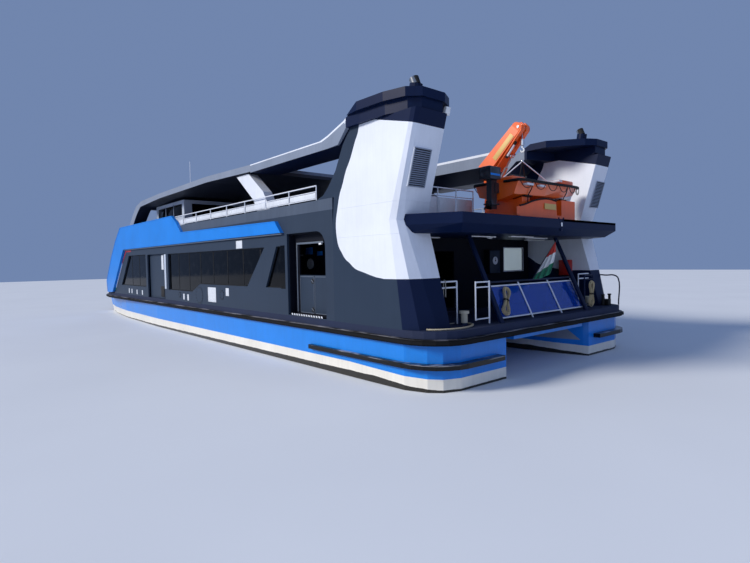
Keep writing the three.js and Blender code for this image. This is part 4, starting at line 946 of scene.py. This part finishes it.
class FERRY_OT_gates(bpy.types.Operator):
    """Fit the side gates' latches, ribs, header and the hazard-striped sill"""
    bl_idname = "ferry.gates"
    bl_label = "Side gates"

    def execute(self, context):
        for side, sign in SIDES:
            levers = bmesh.new()
            for z in LATCH_Z:
                lever = facing(at(LATCH_X, (GATE_Y + 0.016) * sign, z), (0.8, 0, 0.6), (-0.6, 0, 0.8))
                block(levers, (-0.07, -0.014, -0.008), (0.07, 0.014, 0.008), 0.005, lever)
            fitting(f"gate_latches_{side}", "shade_black", sign=sign, body=f"gate_fore_{side}",
                    rods=[((LATCH_X, GATE_Y - 0.004, z), (LATCH_X, GATE_Y + 0.01, z), 0.078, 28)
                          for z in LATCH_Z])
            finished(f"gate_levers_{side}", levers, "duct_grey", f"gate_fore_{side}")
            for leaf, x0, x1 in GATE_LEAVES:
                ribs = [((x0 + 0.02, GATE_Y, z), (x1 - 0.02, GATE_Y + 0.008, z + 0.02), 0.003)
                        for z in (1.6, 2.75)]
                ribs += [((x, GATE_Y, 1.6), (x + 0.015, GATE_Y + 0.008, 2.77), 0.003)
                         for x in (x0 + 0.02, x1 - 0.035)]
                fitting(f"gate_ribs_{leaf}_{side}", "duct_grey", ribs, sign=sign,
                        body=f"gate_{leaf}_{side}")
            fitting(f"sill_strip_{side}", "black_rubber",
                    [((4.72, 5.085, 1.525), (6.54, 5.105, 1.595), 0.002)], sign=sign)
            dashes = bmesh.new()
            for i in range(13):
                x = 4.74 + i * 0.138
                side_slab(dashes, ((x, 1.532), (x + 0.065, 1.532), (x + 0.1, 1.588), (x + 0.035, 1.588)),
                          5.104 * sign, 0.003)
            finished(f"sill_dashes_{side}", dashes, "white_paint")
            fitting(f"gate_header_{side}", "duct_grey", sign=sign,
                    blocks=[((4.98, 4.84, 3.8), (6.5, 4.87, 3.86), 0.006),
                            ((6.46, 4.84, 1.62), (6.5, 4.87, 3.8), 0.006)])
            fitting(f"gate_lamp_{side}", "lamp_lens",
                    [((5.06, 4.83, 3.75), (5.2, 4.89, 3.81), 0.012)], sign=sign)
        return {"FINISHED"}


STRIP_LIGHTS = ((1.6, 1.5), (1.6, -1.4), (1.2, 0.1), (2.6, 2.9), (2.6, -2.9))
PLATFORM_RAIL_X, PLATFORM_POSTS = 2.85, (3.75, 2.9, 2.05, 1.2, 0.35)


class FERRY_OT_platform(bpy.types.Operator):
    """Fit the aft platform's raised lip, lamps, brackets and forward rail"""
    bl_idname = "ferry.platform"
    bl_label = "Aft platform"

    def execute(self, context):
        lip = bmesh.new()
        slab(lip, [at(x, y, PLATFORM_Z) for x, y in ((0.2, -0.55), (0.26, -0.55), (0.26, -4.1), (0.2, -4.1))],
             0.08, 0.01)
        finished("platform_lip", lip, "navy_paint")
        fitting("stern_light_bracket", "navy_paint",
                [((0.19, -0.56, 4.02), (0.235, -0.44, 4.1), 0.006)],
                [((0.215, -0.5, 4.06), (0.215, y, 4.42), 0.022, 10) for y in (-0.36, -0.64)])
        fitting("stern_light", "lamp_lens",
                rods=[((0.2, -0.5, 4.16), (0.2, -0.5, 4.27), 0.03, 16)])
        fitting("strip_lights", "lamp_lens",
                [((x - 0.06, y - 0.6, 3.865), (x + 0.06, y + 0.6, 3.9), 0.012) for x, y in STRIP_LIGHTS])
        dome = bmesh.new()
        ball(dome, (1.9, 0.75, 3.9), 0.11, 24, 0.6)
        finished("dome_lamp", dome, "lamp_lens")

        x = PLATFORM_RAIL_X
        bars = [((x, 3.77, z), (x, 0.33, z), radius, 12)
                for z, radius in ((5.44, 0.022), (5.2, 0.015), (4.55, 0.015))]
        for y in PLATFORM_POSTS:
            bars += [((x, y, PLATFORM_Z), (x, y, 5.44), 0.02, 12),
                     ((x, y, PLATFORM_Z), (x, y, 4.39), 0.05, 16)]
        fitting("platform_rail", "white_paint", rods=bars)
        fitting("platform_rail_panels", "panel_plastic",
                [((x - 0.006, far + 0.05, 4.6), (x + 0.006, y - 0.05, 5.15), 0.003)
                 for y, far in zip(PLATFORM_POSTS, PLATFORM_POSTS[1:])])
        return {"FINISHED"}


# Stations and heights along the hoop at the starboard quarter.
HOOP_Y = -4.7
HOOP = ((1.2, 1.5), (1.2, 2.44), (1.12, 2.54), (0.8, 2.56), (0.46, 2.54), (0.37, 2.44), (0.36, 1.5))


class FERRY_OT_rails(bpy.types.Operator):
    """Fit the side rails' infill panels and the starboard quarter's hoop"""
    bl_idname = "ferry.rails"
    bl_label = "Rails"

    def execute(self, context):
        bays = [5.0 + i * 1.56 for i in range(12)]
        for side, sign in SIDES:
            fitting(f"rail_panels_{side}", "panel_plastic",
                    [((x + 0.05, 5.052, 5.14), (x + 1.51, 5.058, 5.305), 0.002) for x in bays], sign=sign)
            fitting(f"rail_clips_{side}", "bright_steel",
                    [((x + step, 5.045, 5.3), (x + step + 0.03, 5.065, 5.345), 0.003)
                     for x in bays for step in (0.4, 1.16)], sign=sign)
        wires("quarter_hoop", [[at(x, HOOP_Y, z) for x, z in HOOP]], 0.024, "navy_paint")
        posts = []
        for y in (-4.05, -4.55):
            posts += [((0.62, y, DECK_Z), (0.62, y, 1.86), 0.045, 16),
                      ((0.62, y, 1.86), (0.62, y, 1.9), 0.065, 16)]
        fitting("quarter_fairleads", "black_rubber",
                [((0.5, -4.42, DECK_Z), (0.72, -4.2, 1.72), 0.01)], posts)
        return {"FINISHED"}


BOAT_X, BOAT_STERN = 1.5, 0.95
# Metres from the transom, half-width and height of points along the boat's gunwale.
GUNWALE = ((0.0, 0.78, 5.5), (1.5, 0.86, 5.5), (2.9, 0.8, 5.53), (3.9, 0.52, 5.59), (4.4, 0.12, 5.64))
BOAT_COVERS = (((1.0, 0.1, 5.48), (2.0, 0.8, 5.68)), ((0.95, -1.0, 5.46), (2.05, -0.1, 5.64)),
               ((1.1, -1.75, 5.52), (1.9, -1.0, 5.68)))
# Stations and heights of a lashing down the boat's side.
LASHING = ((0.66, 5.53), (0.7, 5.3), (0.82, 5.09), (0.81, 4.7), (0.8, 4.56))
SLING_RING = (BOAT_X, -0.45, 6.3)
SLINGS = (("dark", ((1.1, 0.35, 5.6), (1.95, -1.35, 5.6)), "black_rubber"),
          ("pale", ((1.9, 0.35, 5.6), (1.05, -1.35, 5.6)), "white_paint"))


def gunwale(offset=0.0, drop=0.0, sign=1):
    """Points along one gunwale of the rescue boat, from the transom to the bow."""
    return [at(BOAT_X - (half + offset) * sign, BOAT_STERN - along, z - drop) for along, half, z in GUNWALE]


class FERRY_OT_rescue_boat(bpy.types.Operator):
    """Fit the rescue boat's fender, grab lines, covers, foredeck, thwarts and slings"""
    bl_idname = "ferry.rescue_boat"
    bl_label = "Rescue boat"

    def execute(self, context):
        rim = [at(1.2, 0.975, 5.5), at(0.8, 0.975, 5.5), *gunwale(0.02), at(BOAT_X, BOAT_STERN - 4.47, 5.645),
               *reversed(gunwale(0.02, sign=-1)), at(2.2, 0.975, 5.5), at(1.8, 0.975, 5.5)]
        wires("boat_fender", [rim], 0.043, "black_rubber")
        fitting("boat_covers", "gelcoat", [(*corners, 0.09) for corners in BOAT_COVERS],
                smooth=60)
        fitting("boat_cushion", "crane_paint",
                [((1.15, -3.0, 5.68), (1.85, -2.1, 5.84), 0.07)], smooth=60)
        fitting("boat_tags", "panel_plastic",
                [((0.6, 0.35, 5.36), (0.76, 0.68, 5.42), 0.004),
                 ((0.6, -0.3, 5.36), (0.76, 0.0, 5.42), 0.004), ((1.0, -2.0, 5.7), (1.7, -1.8, 5.78), 0.02)])
        lines, fore = [], bmesh.new()
        for sign in (1, -1):
            edge = through(gunwale(0.05, 0.03, sign), 21)
            lines.append([p - Vector((0, 0, 0.17)) if i % 3 else p for i, p in enumerate(edge)])
            near = gunwale(-0.02, -0.01, sign)
            peak, tip = at(BOAT_X, BOAT_STERN - 2.72, 5.66), at(BOAT_X, BOAT_STERN - 4.35, 5.66)
            slab(fore, [*near[2:5], tip, peak][::sign], 0.02)
        wires("boat_grab_lines", lines, 0.011, "black_rubber")
        finished("boat_foredeck", fore, "gelcoat", smooth=50)
        thwarts = [((0.94, y - 0.14, 5.2), (2.06, y + 0.14, 5.42), 0.03) for y in (0.55, -0.35, -1.25)]
        thwarts.append(((1.33, -1.0, 5.2), (1.67, -0.55, 5.72), 0.05))
        fitting("boat_thwarts", "gelcoat", thwarts)
        fitting("boat_wheel", "black_rubber",
                rods=[((BOAT_X, -0.5, 5.62), (BOAT_X, -0.44, 5.66), 0.16, 24)])
        wires("boat_lashings", [[at(x, y, z) for x, z in LASHING] for y in (0.3, -1.7)], 0.016,
              "black_rubber")
        for name, feet, finish in SLINGS:
            wires(f"boat_slings_{name}", [[at(*SLING_RING), at(*foot)] for foot in feet], 0.018, finish,
                  rounded=False)
        link = bmesh.new()
        ball(link, SLING_RING, 0.05, 16)
        finished("sling_ring", link, "bright_steel")
        return {"FINISHED"}


class FERRY_OT_outboard(bpy.types.Operator):
    """Fit the outboard's cowl, stripe and propeller"""
    bl_idname = "ferry.outboard"
    bl_label = "Outboard"

    def execute(self, context):
        fitting("outboard_cowl", "cowl_plastic",
                [((1.285, 1.0, 5.57), (1.715, 1.52, 5.95), 0.09)], smooth=60)
        fitting("outboard_band", "fascia_enamel",
                [((1.28, 1.05, 5.66), (1.72, 1.5, 5.72), 0.006)])
        screw = bmesh.new()
        for turn in range(3):
            place = (Matrix.Translation(at(1.5, 1.38, 4.78)) @ Matrix.Rotation(turn * 2 * math.pi / 3, 4, "Y")
                     @ Matrix.Rotation(math.radians(28), 4, "Z"))
            block(screw, (-0.05, -0.006, 0.02), (0.05, 0.006, 0.15), 0.005, place)
        fitting("outboard_screw", "black_rubber", mesh=screw,
                rods=[((1.5, 1.26, 4.78), (1.5, 1.44, 4.78), 0.045, 16, 0.025)])
        return {"FINISHED"}


PIVOT, HEAD, CRANE_Y = (2.65, 6.15), (1.5, 7.35), -0.45
BOOM_ANGLE = math.atan2(HEAD[1] - PIVOT[1], HEAD[0] - PIVOT[0])
# Along the boom, above its centreline, and the inner and outer face: corners of the cowl's cheeks and top.
COWL_CHEEK = ((-0.113, 0.349, 0.213, 0.33), (0.096, -0.129, 0.213, 0.33), (1.6, -0.11, 0.2, 0.232),
              (1.6, 0.225, 0.2, 0.232))
COWL_TOP = ((-0.108, 0.345, 0.322), (-0.08, 0.28, 0.322), (1.59, 0.165, 0.226), (1.59, 0.221, 0.226))
# Along the boom, above its centreline, half the pin's length and its radius.
BOOM_PINS = ((0, 0, 0.332, 0.07), (1.662, 0, 0.236, 0.045), (0.8, -0.29, 0.085, 0.035))
CRANE_HOSE = ((2.84, -0.52, 5.1), (2.83, -0.62, 5.4), (2.6, -0.672, 5.6), (2.42, -0.6, 5.72))


def on_boom(along, above, across=0.0):
    """A point given along the crane's boom, above its centreline and to port of it."""
    c, s = math.cos(BOOM_ANGLE), math.sin(BOOM_ANGLE)
    return at(PIVOT[0] + along * c + above * s, CRANE_Y + across, PIVOT[1] + along * s - above * c)


def on_crane(name, finish, rods, mesh=None):
    """Round pieces of the boom, given by their ends along, above and across it, radius and sides."""
    bars = [(on_boom(*start), on_boom(*end), radius, sides) for start, end, radius, sides in rods]
    fitting(name, finish, rods=bars, body="crane_boom", place=Matrix(), mesh=mesh)


class FERRY_OT_crane(bpy.types.Operator):
    """Fit the crane's cowl, plates, ram, pins, hoses and sheave"""
    bl_idname = "ferry.crane"
    bl_label = "Crane"

    def execute(self, context):
        shapes = [[on_boom(along, above, across * sign) for along, above, *faces in COWL_CHEEK
                   for across in faces] for sign in (1, -1)]
        shapes.append([on_boom(along, above, across) for along, above, half in COWL_TOP
                       for across in (-half, half)])
        cowl = bmesh.new()
        for shape in shapes:
            bmesh.ops.convex_hull(cowl, input=[cowl.verts.new(spot) for spot in shape])
        on_crane("boom_cowl", "crane_paint", [((1.6, 0.058, 0.2), (1.6, 0.058, 0.234), 0.167, 40)], cowl)
        on_crane("boom_sheave", "black_rubber", [((1.6, 0.058, -0.2), (1.6, 0.058, -0.262), 0.15, 32)])
        on_crane("boom_sheave_guard", "signal_red", [((1.6, 0.058, -0.262), (1.6, 0.058, -0.3), 0.172, 32)])
        label = bmesh.new()
        up = on_boom(0, 1) - on_boom(0, 0)
        for sign in (1, -1):
            along = on_boom(1.6, 0, 0.232 * sign) - on_boom(0, 0, 0.33 * sign)
            face = facing(on_boom(0.9, 0.0, 0.279 * sign), along * -sign, up)
            block(label, (-0.47, -0.085, -0.01), (0.47, 0.085, 0.004), 0.002, face)
        finished("boom_plates", label, "label_yellow", "crane_boom")
        on_crane("boom_ram", "white_paint", [((0.72, -0.235, 0.14), (1.18, -0.205, 0.14), 0.036, 20)])
        on_crane("boom_ram_ends", "black_rubber", [((0.68, -0.238, 0.14), (0.75, -0.233, 0.14), 0.045, 20),
                                                   ((1.16, -0.207, 0.14), (1.27, -0.2, 0.14), 0.045, 20)])
        on_crane("boom_pins", "bright_steel",
                 [((along, above, (reach - 0.012) * sign), (along, above, (reach + 0.012) * sign), radius, 16)
                  for along, above, reach, radius in BOOM_PINS for sign in (1, -1)])
        flanges = [((PIVOT[0], CRANE_Y, 4.56), (PIVOT[0], CRANE_Y, 4.6), 0.3, 32)]
        for turn in range(12):
            angle = turn * math.pi / 6
            spot = Vector((PIVOT[0] + 0.26 * math.cos(angle), CRANE_Y + 0.26 * math.sin(angle), 4.6))
            flanges.append((spot, spot + Vector((0, 0, 0.03)), 0.022, 6))
        fitting("crane_foot_ring", "crane_paint", rods=flanges)
        fitting("crane_valve_box", "crane_paint", [((2.82, -0.6, 4.75), (2.885, -0.3, 5.2), 0.02)],
                body="crane_column")
        hose = [at(*p) for p in CRANE_HOSE]
        wires("crane_hose", [hose, [p + Vector((0.03, 0.05, 0)) for p in hose]], 0.014, "black_rubber",
              "crane_column")
        return {"FINISHED"}


# Distances to port and heights along the curved top of the cradle's cheek.
CRADLE_EDGE = ((1.0, 4.72), (0.86, 4.75), (0.6, 4.8), (0.32, 4.88), (0.05, 4.95), (-0.23, 5.0), (-0.68, 5.04),
               (-1.15, 5.0))


class FERRY_OT_cradle(bpy.types.Operator):
    """Fit the cradle's cheek, pad, rubber chocks and plate"""
    bl_idname = "ferry.cradle"
    bl_label = "Cradle"

    def execute(self, context):
        fitting("cradle_plate", "label_yellow", [((0.722, -1.12, 4.72), (0.735, -0.45, 4.9), 0.004)])
        cheek = bmesh.new()
        slab(cheek, [at(0.75, y, z) for y, z in (*CRADLE_EDGE, (-1.21, 4.49), (1.0, 4.49))], 0.022, 0.006)
        finished("cradle_cheek", cheek, "crane_paint")
        wires("cradle_pad", [[at(0.74, y, z + 0.012) for y, z in CRADLE_EDGE[1:]]], 0.028, "black_rubber")
        chocks = bmesh.new()
        for y in (-1.7, 0.3):
            for sign in (1, -1):
                out, inner = BOAT_X + 0.7 * sign, BOAT_X + 0.3 * sign
                slab(chocks, [at(out, y - 0.2, 5.075), at(out, y + 0.2, 5.075), at(inner, y + 0.2, 5.0),
                              at(inner, y - 0.2, 5.0)][::sign], 0.03)
        finished("boat_chocks", chocks, "black_rubber")
        return {"FINISHED"}


DIAL = (-1.465, 3.16)               # how far to port and how high the cabinet's dial sits
REEL_X, REEL_Z = 1.45, 2.0
# The reel's flanges, drum and axle: how far to port each starts and ends, its radius and its sides.
REEL = ((-2.2, -2.17, 0.36, 40), (-1.72, -1.69, 0.36, 40), (-2.2, -1.7, 0.24, 32), (-2.3, -1.55, 0.03, 16))


class FERRY_OT_aft_house(bpy.types.Operator):
    """Fit out the aft bulkhead and lobby: windows, cabinet dial, red locker, linings and hose reel"""
    bl_idname = "ferry.aft_house"
    bl_label = "Aft house"

    def execute(self, context):
        panes, sills = [], []
        for _, sign in SIDES:
            panes.append(((3.58, 2.34 * sign, 2.77), (3.592, 3.56 * sign, 3.63), 0.002))
            sills += [((3.525, 2.3 * sign, 2.735), (3.56, 3.6 * sign, 2.775), 0.008),
                      ((3.54, 2.3 * sign, 3.62), (3.56, 3.6 * sign, 3.65), 0.006)]
            sills += [((3.54, y * sign, 2.775), (3.56, (y + 0.03) * sign, 3.62), 0.006) for y in (2.3, 3.57)]
        fitting("bulkhead_panes", "pale_glass", panes)
        fitting("bulkhead_sills", "white_paint", sills)
        fitting("cabinet_door", "slate_paint",
                [((3.315, -1.765, 2.72), (3.33, -1.165, 3.52), 0.006)])
        fitting("cabinet_dial", "panel_plastic",
                rods=[((3.3, *DIAL), (3.316, *DIAL), 0.14, 32)])
        fitting("cabinet_dial_hand", "black_rubber",
                [((3.293, -1.475, 3.16), (3.299, -1.455, 3.27), 0.002)],
                [((3.292, *DIAL), (3.302, *DIAL), 0.03, 16)])
        fitting("fire_locker", "signal_red",
                [((1.72, -3.99, 2.58), (2.15, -3.76, 3.14), 0.02),
                 ((1.75, -3.76, 2.61), (2.12, -3.745, 3.11), 0.008)])
        out = LINING_Y + 0.04
        for side, sign in SIDES:
            # The lobby's linings in near-black: painted shade.
            fitting(f"lobby_lining_{side}", "painted_shade_dark",
                    [((4.62, LINING_Y - 0.04, 1.52), (9.2, LINING_Y, 4.3), 0.01)], sign=sign)
            fitting(f"lobby_panels_{side}", "fascia_enamel",
                    [((7.35, LINING_Y, 3.5), (7.75, out, 3.75), 0.01),
                     ((6.75, LINING_Y, 3.45), (7.05, out, 3.6), 0.01)], sign=sign)
            fitting(f"lobby_dial_{side}", "panel_plastic",
                    [((7.95, LINING_Y, 3.45), (8.35, out, 3.52), 0.01)],
                    [((7.5, LINING_Y, 3.16), (7.5, out, 3.16), 0.19, 40)], sign=sign)
        fitting("mooring_reel", "painted_shade_dark",
                [((1.38, y, DECK_Z), (1.52, y + 0.05, 2.06), 0.008) for y in (-2.27, -1.63)],
                [((REEL_X, start, REEL_Z), (REEL_X, end, REEL_Z), radius, sides)
                 for start, end, radius, sides in REEL])
        return {"FINISHED"}


# Station, distance to port, height over the roof and radius of each aerial.
AERIALS = ((14.3, 4.2, 0.26, 0.05), (14.8, 4.25, 0.18, 0.08), (15.2, 4.15, 0.3, 0.02),
           (15.5, 4.2, 0.14, 0.06))
ROOF_Z, CAMERA_Z = 6.84, 7.02


class FERRY_OT_roof_gear(bpy.types.Operator):
    """Fit the wheelhouse panes, the roof's aerials, the tower cameras and the hank straps"""
    bl_idname = "ferry.roof_gear"
    bl_label = "Roof gear"

    def execute(self, context):
        for top, bottom, _, _, body, side in HANKS:
            top, bottom = at(*top), at(*bottom)
            up, back, across = hank_axes(top, bottom)
            circle = [2 * math.pi * k / 16 for k in range(17)]
            turns = [[(top + bottom) / 2 + up * lift + across * 0.1 * math.cos(a) - back * 0.06 * math.sin(a)
                      for a in circle] for lift in (-0.02, 0.0, 0.02)]
            wires(f"hank_strap_{side}", turns, 0.008, "black_rubber", body)

        panes = [((18.05, y, 5.62), (21.75, y + 0.012, 6.35), 0.003) for y in (4.265, -4.265)]
        panes.append(((21.96, -4.05, 5.35), (21.972, 4.05, 6.35), 0.003))
        panes += [((17.83, y0, 5.45), (17.842, y1, 6.35), 0.003) for y0, y1 in ((-3.95, -0.85), (0.85, 3.95))]
        fitting("wheelhouse_panes", "smoked_glass", panes)
        fitting("wheelhouse_bars", "pale_paint",
                [((x - 0.03, 4.225 * sign, 5.6), (x + 0.03, 4.305 * sign, 6.38), 0.006)
                 for _, sign in SIDES for x in (19.3, 20.5)])
        stalks = []
        for x, y, high, radius in AERIALS:
            stalks += [((x, y, ROOF_Z), (x, y, ROOF_Z + 0.03 + high), radius, 16),
                       ((x, y, ROOF_Z), (x, y, ROOF_Z + 0.06), radius * 1.6, 16)]
        fitting("roof_aerials", "black_rubber", rods=stalks)
        for side, sign in SIDES:
            camera = bmesh.new()
            ball(camera, (3.34, 5.18 * sign, CAMERA_Z - 0.03), 0.042, 20)
            fitting(f"tower_camera_{side}", "white_paint", sign=sign, mesh=camera,
                    rods=[((3.5, 5.08, CAMERA_Z), (3.34, 5.18, CAMERA_Z), 0.016, 12),
                          ((3.34, 5.18, CAMERA_Z + 0.02), (3.34, 5.18, CAMERA_Z - 0.02), 0.045, 20)])
        return {"FINISHED"}


# Solved from the photograph's vanishing lines, in the row's metres and in degrees.
CAMERA_PLACE = (-25.2, 13.75, 3.2)
CAMERA_AIM = (0.75815, -0.65092, -0.03892)
CAMERA_ROLL = -1.04
FOCAL_PIXELS, IMAGE_WIDTH = 508.27, 750


class FERRY_OT_camera(bpy.types.Operator):
    """Stand the camera where the photograph was taken, off the port quarter"""
    bl_idname = "ferry.camera"
    bl_label = "Camera"

    def execute(self, context):
        data = bpy.data.cameras.new("quay_camera")
        data.sensor_fit, data.sensor_width = "HORIZONTAL", 36.0
        data.lens = data.sensor_width * FOCAL_PIXELS / IMAGE_WIDTH
        data.clip_end = 900.0
        made = bpy.data.objects.new("quay_camera", data)
        context.scene.collection.objects.link(made)
        aim = Vector(CAMERA_AIM).to_track_quat("-Z", "Y").to_matrix()
        roll = Matrix.Rotation(math.radians(CAMERA_ROLL), 3, "Z")
        made.matrix_world = Matrix.Translation(Vector(CAMERA_PLACE)) @ (aim @ roll).to_4x4()
        context.scene.camera = made
        return {"FINISHED"}


SKY_SHADE, SKY_STRENGTH = "a8c6ff", 0.42
KEY_PLACE, KEY_STRENGTH, KEY_SPREAD = (14, 46, 32), 3.35, 18
FILL_PLACE, FILL_WATTS, FILL_SIZE = (-46, 18, 16), 1500, 26
LIGHT_TARGET = Vector((-6, 0, 3))


class FERRY_OT_stage(bpy.types.Operator):
    """Lay the pale floor at the waterline and hang the soft studio lights"""
    bl_idname = "ferry.stage"
    bl_label = "Stage"

    def execute(self, context):
        mesh = bmesh.new()
        bmesh.ops.create_grid(mesh, x_segments=1, y_segments=1, size=context.scene.ferry_sizes.floor / 2)
        data = bpy.data.meshes.new("studio_floor")
        mesh.to_mesh(data)
        mesh.free()
        # Seamless paper rolled out under the hulls: pale and even, so that only the shadow shows on it.
        data.materials.append(paper("studio_paper"))
        floor = bpy.data.objects.new("studio_floor", data)
        context.scene.collection.objects.link(floor)

        context.scene.view_settings.view_transform = "Standard"
        world = bpy.data.worlds.new("studio")
        context.scene.world = world
        world.use_nodes = True
        feed(world.node_tree.nodes["Background"], Color=(*linear(SKY_SHADE), 1), Strength=SKY_STRENGTH)
        key = bpy.data.lights.new("key", "SUN")
        key.energy, key.angle, key.color = KEY_STRENGTH, math.radians(KEY_SPREAD), linear("fff8ee")
        fill = bpy.data.lights.new("fill", "AREA")
        fill.shape, fill.size, fill.energy, fill.color = "DISK", FILL_SIZE, FILL_WATTS, linear("dfe9ff")
        for light, spot in ((key, KEY_PLACE), (fill, FILL_PLACE)):
            lamp = bpy.data.objects.new(light.name, light)
            lamp.location = spot
            lamp.rotation_euler = (LIGHT_TARGET - Vector(spot)).to_track_quat("-Z", "Y").to_euler()
            context.scene.collection.objects.link(lamp)
        return {"FINISHED"}


class FERRY_PT_build(bpy.types.Panel):
    bl_idname = "FERRY_PT_build"
    bl_label = "Passenger Ferry"
    bl_space_type = "VIEW_3D"
    bl_region_type = "UI"
    bl_category = "Ferry"

    def draw(self, context):
        for group in (context.scene.ferry_sizes, context.scene.ferry_colours):
            box = self.layout.box()
            for name in group.bl_rna.properties.keys():
                if name not in ("rna_type", "name"):
                    box.prop(group, name)
        for step in STEPS:
            self.layout.operator(step.bl_idname)


STEPS = (FERRY_OT_camera, FERRY_OT_ropes, FERRY_OT_ensign, FERRY_OT_coatings, FERRY_OT_towers,
         FERRY_OT_side_trim, FERRY_OT_gates, FERRY_OT_platform, FERRY_OT_rails, FERRY_OT_rescue_boat,
         FERRY_OT_outboard, FERRY_OT_crane, FERRY_OT_cradle, FERRY_OT_aft_house, FERRY_OT_roof_gear,
         FERRY_OT_stage)
CLASSES = (FerryColours, FerrySizes, *STEPS, FERRY_PT_build)


def register():
    for kind in CLASSES:
        bpy.utils.register_class(kind)
    bpy.types.Scene.ferry_colours = PointerProperty(type=FerryColours)
    bpy.types.Scene.ferry_sizes = PointerProperty(type=FerrySizes)


def unregister():
    del bpy.types.Scene.ferry_sizes
    del bpy.types.Scene.ferry_colours
    for kind in reversed(CLASSES):
        bpy.utils.unregister_class(kind)


def main():
    register()
    for step in STEPS:
        group, name = step.bl_idname.split(".")
        getattr(getattr(bpy.ops, group), name)()


if __name__ == "__main__":
    main()
